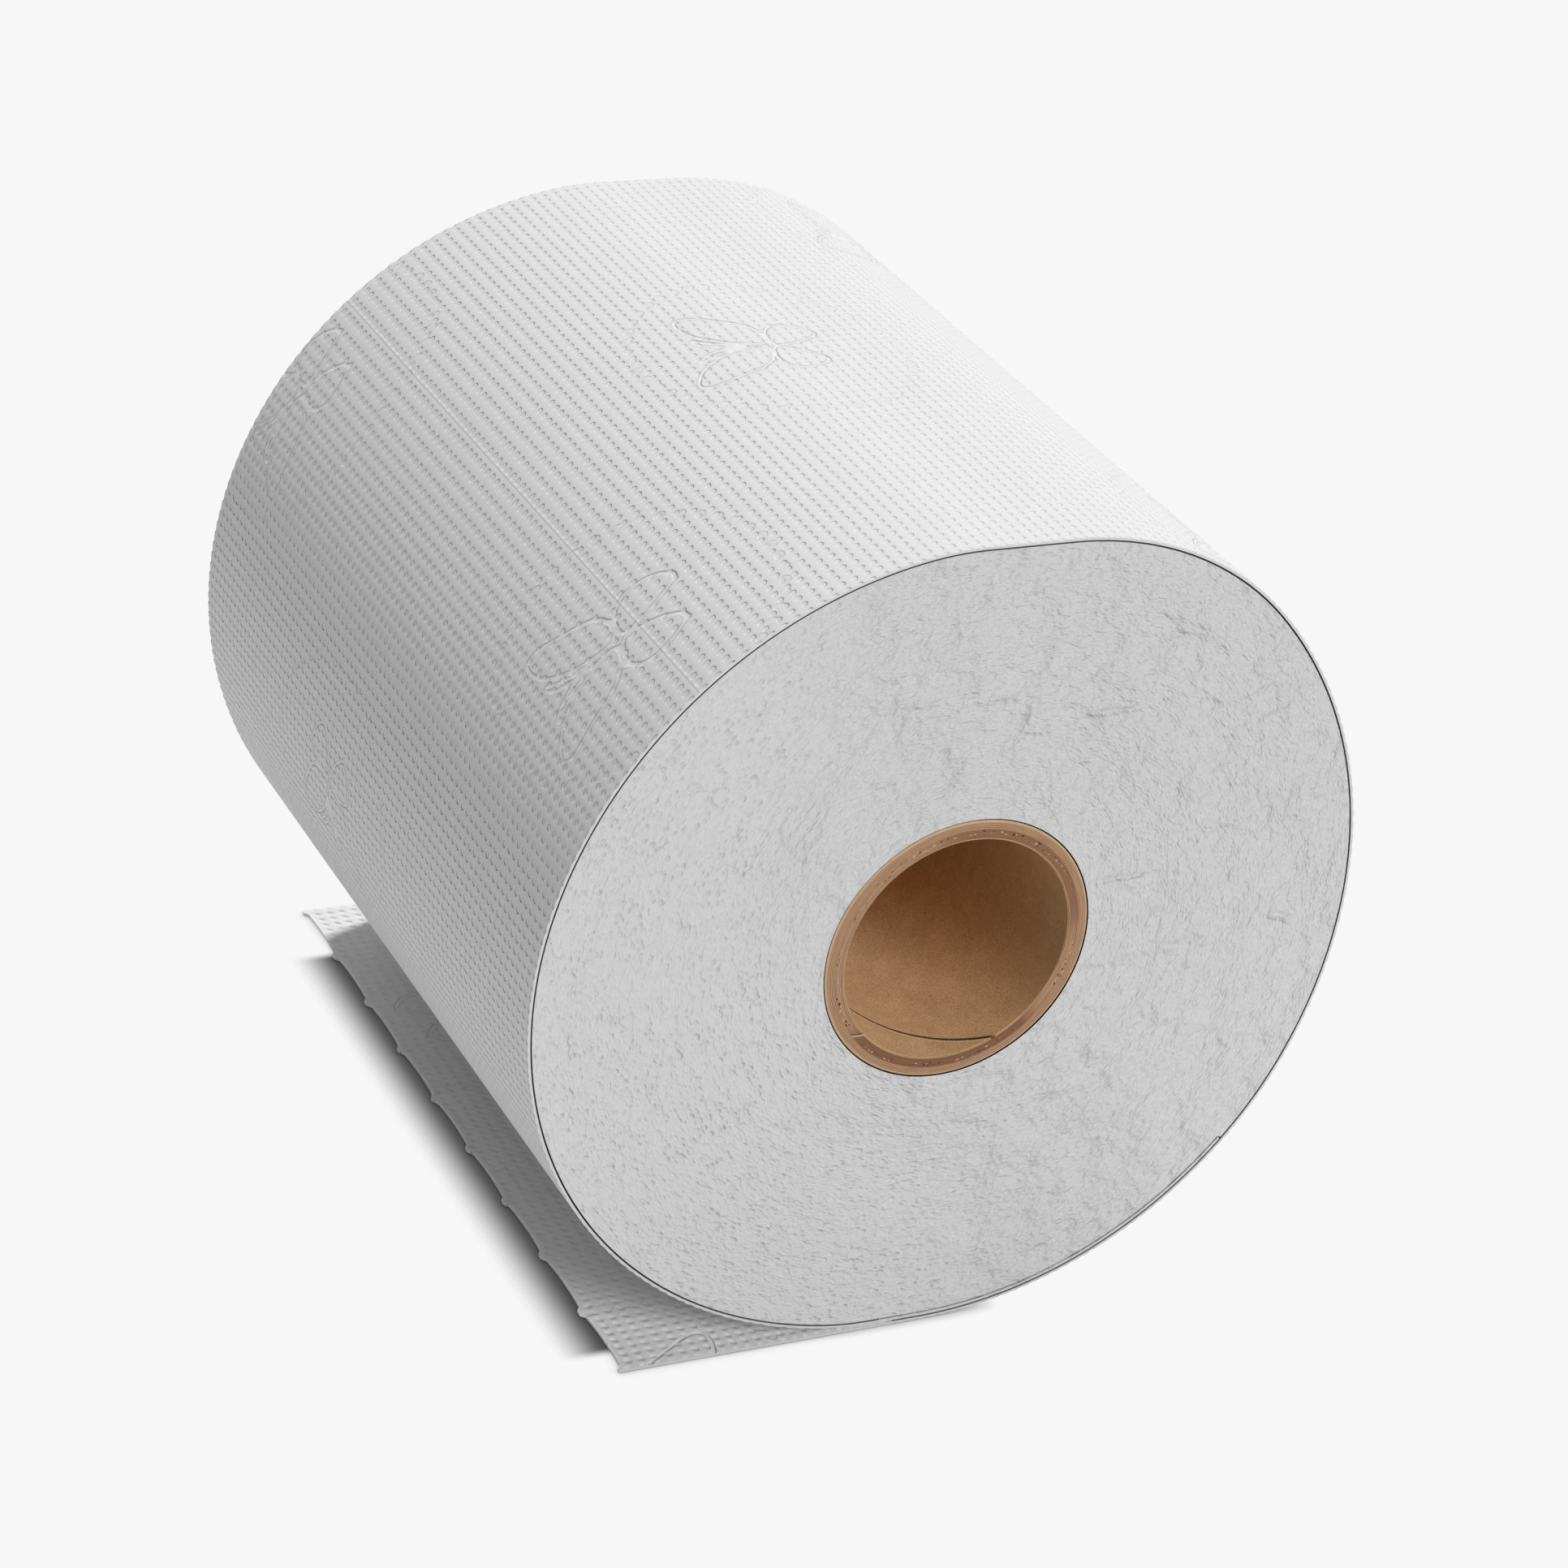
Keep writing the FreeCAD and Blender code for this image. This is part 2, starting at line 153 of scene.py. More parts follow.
web = {
    "thickness": 0.36 * mm,
    "gap": 0.24 * mm,  # air under the loose last turn
    "halfFlat": 4 * mm,  # the soft roll is flat below
    "topLeft": 4 * mm,  # ends of the flat on top
    "topRight": 7 * mm,
    "leftDraw": 13.85 * mm,  # how much tighter than a circle each corner turns
    "lowRightDraw": 3.55 * mm,
    "highRightDraw": 10.35 * mm,
    "leftSlack": 0.25 * mm,  # how much flatter than a circle each side is
    "rightSlack": 4.85 * mm,
    "lapAngle": 52,  # degrees from the floor to where the last turn settles
    "tailReach": 38.3 * mm,
    "sheetLength": 127.3 * mm,
    "sheets": 3,  # whole sheets in the last turn
}
pitch = web["thickness"] + web["gap"]


def touchingArc(first, last, radius):
    # Arc of the given radius that touches two corner arcs (x, z, radius) from outside.
    toFirst = radius - first[2]
    toLast = radius - last[2]
    span = math.hypot(last[0] - first[0], last[1] - first[1])
    along = (toFirst ** 2 - toLast ** 2 + span ** 2) / (2 * span)
    inwards = math.sqrt(toFirst ** 2 - along ** 2)
    stepX = (last[0] - first[0]) / span
    stepZ = (last[1] - first[1]) / span
    x = first[0] + stepX * along - stepZ * inwards
    z = first[1] + stepZ * along + stepX * inwards
    start = math.atan2(first[1] - z, first[0] - x)
    end = math.atan2(last[1] - z, last[0] - x)
    if end < start:
        end += 2 * math.pi
    return x, z, start, end


def windPath():
    # Straight runs and arcs of the web's outside, counter-clockwise from the torn end.
    halfHeight = (rollTop - pitch) / 2
    lowLeftRadius = highLeftRadius = halfHeight - web["leftDraw"]
    lowRightRadius = halfHeight - web["lowRightDraw"]
    highRightRadius = halfHeight - web["highRightDraw"]
    lowLeft = (-web["halfFlat"], pitch + lowLeftRadius, lowLeftRadius)
    lowRight = (web["halfFlat"], pitch + lowRightRadius, lowRightRadius)
    highRight = (web["topRight"], rollTop - highRightRadius, highRightRadius)
    highLeft = (-web["topLeft"], rollTop - highLeftRadius, highLeftRadius)
    rightRadius = halfHeight + web["rightSlack"]
    leftRadius = halfHeight + web["leftSlack"]
    rightX, rightZ, rightStart, rightEnd = touchingArc(lowRight, highRight, rightRadius)
    leftX, leftZ, leftStart, leftEnd = touchingArc(highLeft, lowLeft, leftRadius)
    lapAngle = math.radians(web["lapAngle"])
    lap = lowRightRadius + pitch / (1 - math.cos(lapAngle))
    lapX = web["halfFlat"] - (lap - lowRightRadius) * math.sin(lapAngle)
    down, up = -math.pi / 2, math.pi / 2
    lapEnd = down + lapAngle
    runs = [
        ("line", -web["tailReach"], lapX, 0),
        ("arc", lapX, lap, lap, down, lapEnd),
        ("arc", *lowRight, lapEnd, rightStart),
        ("arc", rightX, rightZ, rightRadius, rightStart, rightEnd),
        ("arc", *highRight, rightEnd, up),
        ("line", web["topRight"], -web["topLeft"], rollTop),
        ("arc", *highLeft, up, leftStart),
        ("arc", leftX, leftZ, leftRadius, leftStart, leftEnd),
        ("arc", *lowLeft, leftEnd, 1.5 * math.pi),
    ]
    starts = [0]
    for run in runs:
        length = abs(run[2] - run[1]) if run[0] == "line" else run[3] * (run[5] - run[4])
        starts.append(starts[-1] + length)
    return runs, np.array(starts)


runs, runStarts = windPath()
turnLength = runStarts[-1]
secondStart = web["tailReach"] - web["halfFlat"]  # where the second turn's flat begins


def onWeb(distance, depth):
    # Place (x, z) and outward normal of the web, distance along it from the torn end
    # and depth inside its outside. Past one turn it goes on under itself.
    distance = np.asarray(distance, float)
    under = distance > turnLength
    along = np.where(under, distance - turnLength + secondStart, distance)
    deeper = depth + np.where(under, pitch, 0)
    x, z, normalX, normalZ = (np.zeros_like(along) for _ in range(4))
    index = np.clip(np.searchsorted(runStarts, along, side="right") - 1, 0, len(runs) - 1)
    for number, run in enumerate(runs):
        here = index == number
        step = along[here] - runStarts[number]
        if run[0] == "line":
            way = math.copysign(1, run[2] - run[1])
            x[here] = run[1] + way * step
            z[here] = run[3] + way * deeper[here]
            normalZ[here] = -way
        else:
            angle = run[4] + step / run[3]
            x[here] = run[1] + (run[3] - deeper[here]) * np.cos(angle)
            z[here] = run[2] + (run[3] - deeper[here]) * np.sin(angle)
            normalX[here] = np.cos(angle)
            normalZ[here] = np.sin(angle)
    return x, z, normalX, normalZ


def smoothStep(low, high, value):
    t = np.clip((value - low) / (high - low), 0, 1)
    return t * t * (3 - 2 * t)


# Embossing. The web was pulled at each perforation, so the pattern is longer there:
# along the web it is worked out on the sheet before the pull.

emboss = {
    "pull": 0.47,  # stretch at a perforation
    "pullReach": 12.5 * mm,
    "dotsAlong": 80,  # dots in one sheet
    "firstDot": 0.95 * mm,
    "lastDot": 0.41 * mm,
    "rowsAcross": 76,  # between the half dots at the two edges
    "dotFloor": 0.25 * mm,  # half width of a dot's flat bottom
    "dotRim": 0.42 * mm,  # half width of a dot at the surface
    "dotDepth": 0.07 * mm,
    "figureAlong": 237.5 * mm,  # middle of one figure
    "figureAcross": -39 * mm,
    "stepFirst": (35.5 * mm, -40.5 * mm),  # from each figure to its neighbours
    "stepSecond": (43 * mm, 48.5 * mm),
    "tilt": 12,  # degrees, of the figure in its ring
    "figureReach": 15 * mm,  # no part of a figure is further from its middle
    "outlineReach": 3.0,  # millimetres: distances to an outline are told up to this
    "outlineSteps": 8,  # to each point of a figure
}

# Half of the butterfly, in millimetres: across the web, and along it towards the head.
butterfly = {
    "foreWing": [(0.5, 0.9), (1.5, 5.2), (4.6, 9.0), (8.3, 10.4),
                 (9.2, 8.6), (7.4, 4.4), (5.8, 1.7), (3.0, 0.4)],
    "hindWing": [(0.5, -0.4), (4.0, -0.1), (6.3, -1.7), (6.0, -4.4),
                 (3.9, -6.4), (1.8, -4.6), (0.6, -2.2)],
    "feeler": [(0.3, 3.2), (0.9, 5.4), (2.0, 7.6), (3.1, 8.9), (2.6, 9.2), (1.2, 7.9), (0.3, 5.8)],
}


def patternPlace(fromEnd):
    # Length before the pull, from the nearer perforation.
    pull = emboss["pull"]
    left = np.log(1 + pull * np.exp(-fromEnd / emboss["pullReach"]))
    return fromEnd - emboss["pullReach"] * (math.log(1 + pull) - left)


sheetHalf = web["sheetLength"] / 2
patternLength = 2 * float(patternPlace(sheetHalf))
pulledSteps = np.linspace(0, sheetHalf, 400)
patternSteps = patternPlace(pulledSteps)


def pulledPlace(pattern):
    # Place along a finished sheet of a place on the pattern.
    far = pattern > patternLength / 2
    near = np.interp(np.where(far, patternLength - pattern, pattern), patternSteps, pulledSteps)
    return np.where(far, web["sheetLength"] - near, near)


def smoothLoop(points, steps):
    # Closed smooth curve through the points.
    points = np.array(points, float)
    t = np.linspace(0, 1, steps, endpoint=False)[:, None]
    loop = []
    for i in range(len(points)):
        a, b, c, d = (points[(i + k) % len(points)] for k in (-1, 0, 1, 2))
        bend = 2 * a - 5 * b + 4 * c - d + t * (3 * (b - c) + d - a)
        loop.append(b + 0.5 * t * (c - a + t * bend))
    return np.concatenate(loop)


def loopDistance(loop, px, py):
    # Distance to a closed loop, below zero inside it.
    nearest = np.full(px.shape, 1e9)
    inside = np.zeros(px.shape, bool)
    for (ax, ay), (bx, by) in zip(loop, np.roll(loop, -1, axis=0)):
        dx, dy = bx - ax, by - ay
        t = np.clip(((px - ax) * dx + (py - ay) * dy) / max(dx * dx + dy * dy, 1e-12), 0, 1)
        nearest = np.minimum(nearest, np.hypot(px - ax - t * dx, py - ay - t * dy))
        crosses = (ay > py) != (by > py)
        if by != ay:
            inside ^= crosses & (px < ax + (py - ay) * dx / (by - ay))
    return np.where(inside, -nearest, nearest)


def fromFigure(along, across):
    # Place of each point in the nearest figure's own axes.
    (a, b), (c, d) = emboss["stepFirst"], emboss["stepSecond"]
    area = a * d - b * c
    u = along - emboss["figureAlong"]
    v = across - emboss["figureAcross"]
    p = (u * d - v * c) / area
    q = (v * a - u * b) / area
    p = p - np.round(p)
    q = q - np.round(q)
    return p * a + q * c, p * b + q * d


def figureDistance(along, across):
    # Distance in millimetres to the outline of the nearest butterfly, below zero inside.
    u, v = fromFigure(along, across)
    turn = math.radians(emboss["tilt"])
    ahead = (u * math.cos(turn) + v * math.sin(turn)) / mm
    aside = (v * math.cos(turn) - u * math.sin(turn)) / mm
    near = np.hypot(u, v) < emboss["figureReach"]
    distance = np.full(u.shape, emboss["outlineReach"])
    for points in butterfly.values():
        half = smoothLoop(points, emboss["outlineSteps"])
        for loop in (half, half * (-1, 1)):
            toLoop = loopDistance(loop, aside[near], ahead[near])
            distance[near] = np.minimum(distance[near], toLoop)
    return distance


# Sheets of the last turn

tear = {
    "scallops": 9,
    "tooth": 0.5 * mm,
    "sag": 0.3 * mm,
    "toothTip": 0.45 * mm,  # half width of a tooth at its tip
    "toothFoot": 1.05 * mm,
    "deepest": 0.95 * mm,
    "fade": 5 * mm,  # how far into the sheet the torn edge bends the grid
    "creaseHalf": 0.13 * mm,
    "creaseDepth": 0.04 * mm,
    "seenInside": 33 * mm,  # the torn end shows the web's inside
}


def tornEdge(across):
    # How far the tear went in past the teeth.
    scallop = webWidth / tear["scallops"]
    offset = (across - frontY) / scallop
    fromTooth = (0.5 - abs(offset - np.floor(offset) - 0.5)) * scallop
    foot = smoothStep(tear["toothTip"], tear["toothFoot"], fromTooth)
    bow = 1 - (1 - np.clip(2 * fromTooth / scallop, 0, 1)) ** 2
    return foot * tear["tooth"] + bow * tear["sag"]


def dotLines(middles):
    # Grid lines of a row of dots: each dot's two rims and the two edges of its bottom.
    rim, floor = emboss["dotRim"], emboss["dotFloor"]
    lines = (middles[:, None] + np.array([-rim, -floor, floor, rim])[None, :]).ravel()
    return lines, np.tile([0, 1, 1, 0], len(middles))


def linesAlong():
    # The last dot makes way for the crease at the perforation.
    last = patternLength - emboss["lastDot"]
    lines, sunk = dotLines(np.linspace(emboss["firstDot"], last, emboss["dotsAlong"]))
    crease = tear["creaseHalf"]
    lines = np.concatenate([[0, crease], lines[:-2], [patternLength - crease, patternLength]])
    return lines, np.concatenate([[0, 0], sunk[:-2], [1, 0]])


def linesAcross():
    # There is half a dot at each edge of the web.
    lines, sunk = dotLines(np.linspace(0, webWidth, emboss["rowsAcross"] + 1))
    lines = np.concatenate([[0], lines[2:-2], [webWidth]])
    return lines + frontY, np.concatenate([[1], sunk[2:-2], [1]])


def sheetSide(grid, corners, full, torn):
    # Faces of one side of a sheet. Where it isn't full, only its two edges have points.
    # The first face goes from the torn edge to past its deepest scallop.
    faces = []
    if torn:
        faces.append([*grid[0], *corners[1:torn + 1, 1], *corners[torn:0:-1, 0]])
    for i in range(torn, len(full) - 1):
        if full[i] and full[i + 1]:
            continue
        first = grid[i] if full[i] else corners[i]
        last = grid[i + 1] if full[i + 1] else corners[i + 1]
        faces.append([*first, *last[::-1]])
    return faces


def dotFaces(grid, deep, full):
    # Four-sided faces, split for drawing so that no split runs through a deep corner.
    rows = np.flatnonzero(full[:-1] & full[1:])

    def corners(values):
        nearer, further = values[rows], values[rows + 1]
        return np.stack([nearer[:, :-1], nearer[:, 1:], further[:, 1:], further[:, :-1]], -1)

    plain, sunk = corners(grid), corners(deep)
    turned = (sunk[..., 0] | sunk[..., 2]) & (sunk.sum(-1) == 1)
    return np.where(turned[..., None], np.roll(plain, -1, axis=-1), plain).reshape(-1, 4).tolist()


def makeSheet(number, seenMaterial, gapShadeMaterial):
    alongLines, alongSunk = linesAlong()
    acrossLines, acrossSunk = linesAcross()
    pattern, across = np.meshgrid(alongLines, acrossLines, indexing="ij")
    deep = (alongSunk[:, None] * acrossSunk[None, :]) > 0
    pulled = pulledPlace(pattern)
    distance = pulled + number * web["sheetLength"]
    patternDistance = pattern + number * patternLength
    outline = figureDistance(patternDistance, across)
    fromEnd = np.minimum(pulled, web["sheetLength"] - pulled)
    crease = np.clip(1 - fromEnd / tear["creaseHalf"], 0, 1) * tear["creaseDepth"]
    outSeen = np.ones(len(alongLines), bool)
    torn = 0  # columns that the tear reaches
    if number == 0:
        distance = distance + tornEdge(across) * np.clip(1 - pulled / tear["fade"], 0, 1)
        crease = np.where(pulled < sheetHalf, 0, crease)
        outSeen = alongLines > tear["seenInside"]
        torn = int(np.argmax(pulled[:, 0] > tear["deepest"]))
    relief = np.maximum(deep * emboss["dotDepth"], crease)
    inFull = ~outSeen
    outFull = outSeen | (alongLines <= 0)

    # Points of both sides: a full row where a column shows, otherwise its two ends.
    points = []
    values = []
    grids = []
    ends = []
    count = 0
    sides = ((outFull, outSeen, 0, -1), (inFull, inFull, web["thickness"], 1))
    for full, carved, depth, way in sides:
        x, z, normalX, normalZ = onWeb(distance, depth)
        sunk = way * np.where(carved[:, None], relief, 0)
        place = np.stack([x + normalX * sunk, across, z + normalZ * sunk], -1)
        keep = np.zeros(pattern.shape, bool)
        keep[full] = True
        keep[:, [0, -1]] = True
        grid = np.full(pattern.shape, -1)
        grid[keep] = np.arange(keep.sum()) + count
        count += keep.sum()
        points.append(place[keep])
        values.append(np.stack([patternDistance / mm, across / mm, outline], -1)[keep])
        grids.append(grid)
        ends.append(grid[:, [0, -1]])
    outGrid, inGrid = grids
    outEnds, inEnds = ends
    faces = dotFaces(outGrid, deep, outFull)
    faces += [face[::-1] for face in dotFaces(inGrid, deep, inFull)]
    # The sheet's unseen sides, against the floor and the pack, take the second material, dark as painted shade where
    # they show in the gap.
    hiddenStart = len(faces)
    faces += sheetSide(outGrid, outEnds, outFull, torn)
    faces += [face[::-1] for face in sheetSide(inGrid, inEnds, inFull, 0)]
    hidden = slice(hiddenStart, len(faces))
    for i in range(len(alongLines) - 1):
        faces.append([outEnds[i, 0], outEnds[i + 1, 0], inEnds[i + 1, 0], inEnds[i, 0]])
        faces.append([outEnds[i + 1, 1], outEnds[i, 1], inEnds[i, 1], inEnds[i + 1, 1]])
    for i, way in ((0, 1), (-1, -1)):
        outRow = outGrid[i] if outFull[i] else outEnds[i]
        inRow = inGrid[i] if inFull[i] else inEnds[i]
        if len(outRow) == len(inRow):
            for j in range(len(outRow) - 1):
                faces.append([outRow[j], inRow[j], inRow[j + 1], outRow[j + 1]][::way])
        else:
            faces.append([*inRow, *outRow[::-1]][::way])

    sheet = addMesh(f"sheet_{number + 1}", np.concatenate(points), faces)
    attribute = sheet.data.attributes.new("pattern", "FLOAT_VECTOR", "POINT")
    attribute.data.foreach_set("vector", np.concatenate(values).astype(np.float32).ravel())
    finishPiece(sheet, (seenMaterial, gapShadeMaterial), "tissue", 32, hidden)
    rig.replaces(sheet, "paper_roll")
    return sheet


def addMesh(name, points, faces):
    mesh = bpy.data.meshes.new(name)
    mesh.from_pydata(points.tolist(), [], [[int(k) for k in face] for face in faces])
    mesh.update()
    piece = bpy.data.objects.new(name, mesh)
    bpy.context.scene.collection.objects.link(piece)
    return piece


def finishPiece(piece, materials, slot, smoothAngle, hidden=slice(0)):
    # The hidden faces, which show only in the gaps, have the second material, whose dark colour is painted shade.
    for material in materials:
        piece.data.materials.append(material)
    materialIndex = np.zeros(len(piece.data.polygons), np.int32)
    materialIndex[hidden] = 1
    piece.data.polygons.foreach_set("material_index", materialIndex)
    bpy.ops.object.select_all(action="DESELECT")
    piece.select_set(True)
    bpy.context.view_layer.objects.active = piece
    bpy.ops.object.mode_set(mode="EDIT")
    bpy.ops.mesh.select_all(action="SELECT")
    bpy.ops.mesh.normals_make_consistent(inside=False)
    bpy.ops.object.mode_set(mode="OBJECT")
    bpy.ops.object.shade_smooth_by_angle(angle=math.radians(smoothAngle))
    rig.ride(piece, "root")
    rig.slot(piece, slot)


# Wound turns

pack = {
    "columns": 440,
    "slackColumns": 70,
    "rings": 102,
    "startColumns": 60,  # of the second turn's loose start
    "stepRun": 0.3 * mm,  # the step at the lap takes this much of the outline
    "slackRun": 0.2 * mm,  # and the step down to the slack this much
    "coreGap": 0.16 * mm,  # the innermost turn stands a little off the core
    "sink": 0.25 * mm,  # the turns' edges lie this deep, on the whole
    "swell": 0.4 * mm,
    "swellSize": 22 * mm,
    "ripple": 0.1 * mm,
    "rippleSize": 6 * mm,
    "leastDepth": 0.02 * mm,
    "rimReach": 4 * mm,  # the end is nearly flat at the rim
    "rimPart": 0.1,
    "coreReach": 2 * mm,  # and round the core
    "corePart": 0.2,
    "fluff": 0.02 * mm,  # the felted rim stands this far into the gap
    "slotDepth": 0.7 * mm,  # how deep the gap under the last turn looks at an end
}
# Soft hollows and bulges of an end: x, z from the axis, radius, depth, in millimetres.
endDents = [
    (-21, 15, 6, -0.5),
    (-13, 24, 5, 0.35),
    (26, -11, 3.2, 0.35),
    (24, -9, 1.6, 0.2),
    (22.5, 14, 1.8, 0.2),
    (19.5, 37, 1.6, 0.16),
    (-2, -35, 2.2, 0.2),
    (12, 27, 8, 0.2),
    (-30, 25, 10, 0.2),
    (36, -5, 7, -0.2),
]


def softNoise(x, z, size, seed):
    return np.array([noise.noise(Vector((a / size, b / size, seed))) for a, b in zip(x, z)])


def endRelief(x, z, fromRim, side, seed):
    # Depth of the end face inside the web's edge, which it meets at the rim and the core.
    depth = pack["sink"] + pack["swell"] * softNoise(x, z, pack["swellSize"], seed)
    depth = depth + pack["ripple"] * softNoise(x, z, pack["rippleSize"], seed + 3)
    for dentX, dentZ, size, deep in endDents:
        away = np.hypot(x - side * dentX * mm, z - axisZ - dentZ * mm) / (size * mm)
        depth = depth + deep * mm * np.exp(-away ** 2)
    fromCore = np.hypot(x, z - axisZ) - coreRadius
    for place, away in (("rim", fromRim), ("core", fromCore)):
        least = pack[place + "Part"]
        depth = depth * (least + (1 - least) * smoothStep(0, pack[place + "Reach"], away))
    return np.maximum(depth, pack["leastDepth"])


def makeWoundTurns(endMaterial, gapShadeMaterial):
    lapEnd = runStarts[2]
    loose = turnLength + lapEnd - secondStart
    # Outline of the tight pack, from the step where the slack ends, round to that step.
    tightColumns = pack["columns"] - pack["slackColumns"]
    tight = np.linspace(lapEnd + pack["stepRun"], turnLength, tightColumns)
    slack = np.linspace(turnLength + pack["slackRun"], loose, pack["slackColumns"])
    outline = np.concatenate([tight, slack])
    outX, outZ, _, _ = onWeb(outline, pitch - pack["fluff"])
    angle = np.arctan2(outZ - axisZ, outX)
    rings = np.linspace(0, 1, pack["rings"])[None, :]
    radius = coreRadius + pack["coreGap"]
    inX = radius * np.cos(angle)
    inZ = axisZ + radius * np.sin(angle)
    x = inX[:, None] + (outX - inX)[:, None] * rings
    z = inZ[:, None] + (outZ - inZ)[:, None] * rings
    fromRim = np.hypot(outX - inX, outZ - inZ)[:, None] * (1 - rings)
    # The gap outside the pack is closed a little way in.
    slotX, slotZ, _, _ = onWeb(outline, web["thickness"] + pack["fluff"])
    slotDepth = np.full((len(outline), 2), pack["slotDepth"])
    wholeX = np.column_stack([x, outX, slotX])
    wholeZ = np.column_stack([z, outZ, slotZ])
    points = []
    for y, way, seed in ((frontY, 1, 3.7), (backY, -1, 9.2)):
        depth = endRelief(x.ravel(), z.ravel(), fromRim.ravel(), way, seed).reshape(x.shape)
        depth = np.column_stack([depth, slotDepth])
        points.append(np.stack([wholeX, y + way * depth, wholeZ], -1).reshape(-1, 3))
    columns, count = wholeX.shape
    front = np.arange(columns * count).reshape(columns, count)
    back = front + columns * count

    def ringFaces(rings):
        made = []
        for i in range(columns):
            k = (i + 1) % columns
            for j in rings:
                made.append([front[i, j], front[i, j + 1], front[k, j + 1], front[k, j]])
                made.append([back[i, j], back[k, j], back[k, j + 1], back[i, j + 1]])
        return made

    faces = ringFaces(range(count - 3))
    # The faces that close the gap, the pack's outside and its wall by the core take the second material, dark as
    # painted shade.
    hiddenStart = len(faces)
    faces += ringFaces((count - 3, count - 2))
    for i in range(columns):
        k = (i + 1) % columns
        faces.append([front[i, -1], back[i, -1], back[k, -1], front[k, -1]])
        faces.append([front[i, 0], front[k, 0], back[k, 0], back[i, 0]])
    hidden = slice(hiddenStart, len(faces))

    # The second turn's loose start, under the last turn.
    run = pack["startColumns"]
    path = np.linspace(web["sheets"] * web["sheetLength"], loose, run)
    base = 2 * columns * count
    for depth in (0, web["thickness"]):
        x, z, _, _ = onWeb(path, depth)
        for y in (frontY, backY):
            points.append(np.stack([x, np.full_like(x, y), z], -1))
    a, b, c, d = np.arange(4 * run).reshape(4, run) + base
    for one, other in ((a, b), (b, d), (d, c), (c, a)):
        for i in range(run - 1):
            faces.append([one[i], one[i + 1], other[i + 1], other[i]])
    faces.append([a[0], b[0], d[0], c[0]])
    faces.append([a[-1], c[-1], d[-1], b[-1]])
    turns = addMesh("wound_turns", np.concatenate(points), faces)
    finishPiece(turns, (endMaterial, gapShadeMaterial), "tissue", 40, hidden)
    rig.replaces(turns, "paper_roll")
    return turns


# Core

tube = {
    "bore": 15 * mm,  # radius
    "seamLead": 55 * mm,
    "seamFront": -61.6,  # degrees, where the inner ply's seam meets the front end
    "seamWidth": 0.575 * mm,
    "seamDepth": 0.2 * mm,
    "lip": 0.14 * mm,  # rounding of the cut ends
    "plyStep": 0.02 * mm,  # every second ply of a cut end lies this much deeper
    "around": 168,
    "along": 120,
    "plies": 12,
    "outside": 24,
}


def makeCore(material):
    # The grid of the bore follows the seam, so that the seam is one clean groove. Closed
    # loops go out over the front end, along the bore, over the back end and home outside.
    seam = tube["seamWidth"] / tube["bore"]
    rest = np.linspace(seam, 2 * math.pi, tube["around"] - 3)[1:-1]
    around = np.concatenate([[0, 0.1 * seam, 0.9 * seam, seam], rest])
    count = len(around)
    inner = np.full(count, tube["bore"])
    inner[1:3] += tube["seamDepth"]
    front, back = frontY + tube["lip"], backY - tube["lip"]
    sides = np.linspace(front, back, tube["along"])
    turn = math.radians(tube["seamFront"]) - 2 * math.pi / tube["seamLead"] * (sides - frontY)
    angle = turn[:, None] + around[None, :] - seam / 2

    def loop(radius, turned, y):
        z = axisZ + radius * np.sin(turned)
        return np.stack([radius * np.cos(turned), np.full(count, y), z], -1)

    def cutEnd(turned, y, way):
        made = []
        for ply, part in enumerate(np.linspace(0, 1, tube["plies"])):
            radius = inner + tube["lip"] + (coreRadius - 2 * tube["lip"] - inner) * part
            made.append(loop(radius, turned, y + way * tube["plyStep"] * (ply % 2)))
        made.append(loop(coreRadius, turned, y + way * tube["lip"]))
        return made

    loops = cutEnd(angle[0], frontY, 1)[::-1]
    loops += [loop(inner, turned, y) for turned, y in zip(angle, sides)]
    loops += cutEnd(angle[-1], backY, -1)
    for part in np.linspace(0, 1, tube["outside"] + 1)[1:-1]:
        turned = angle[-1] * (1 - part) + angle[0] * part
        loops.append(loop(coreRadius, turned, back * (1 - part) + front * part))
    index = np.arange(len(loops) * count).reshape(len(loops), count)
    faces = []
    for here, beyond in zip(index, np.roll(index, -1, axis=0)):
        for j in range(count):
            k = (j + 1) % count
            faces.append([here[j], beyond[j], beyond[k], here[k]])
    core = addMesh("spiral_tube", np.concatenate(loops), faces)
    finishPiece(core, (material,), "core_board", 35)
    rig.replaces(core, "core_tube")
    return core


# Materials

class Wire:
    # A value in a node tree. Arithmetic with it adds the nodes that work it out.
    def __init__(self, socket):
        self.socket = socket

    def __add__(self, other):
        return calc("ADD", self, other)

    def __sub__(self, other):
        return calc("SUBTRACT", self, other)

    def __rsub__(self, other):
        return calc("SUBTRACT", other, self)

    def __mul__(self, other):
        return calc("MULTIPLY", self, other)

    def __truediv__(self, other):
        return calc("DIVIDE", self, other)

    def __mod__(self, other):
        return calc("FLOORED_MODULO", self, other)

    def __lt__(self, other):
        return calc("LESS_THAN", self, other)

    def __gt__(self, other):
        return calc("GREATER_THAN", self, other)

    def __abs__(self):
        return calc("ABSOLUTE", self)

    def __round__(self):
        return calc("ROUND", self)

    __radd__ = __add__
    __rmul__ = __mul__


def put(value, socket):
    if isinstance(value, Wire):
        socket.id_data.links.new(value.socket, socket)
    else:
        socket.default_value = value


def addNode(kind, inputs, output=0, **settings):
    # A node in the tree of the first wire among its inputs.
    tree = next(value.socket.id_data for value in inputs.values() if isinstance(value, Wire))
    node = tree.nodes.new("ShaderNode" + kind)
    for name, setting in settings.items():
        setattr(node, name, setting)
    for name, value in inputs.items():
        put(value, node.inputs[name])
    return Wire(node.outputs[output])


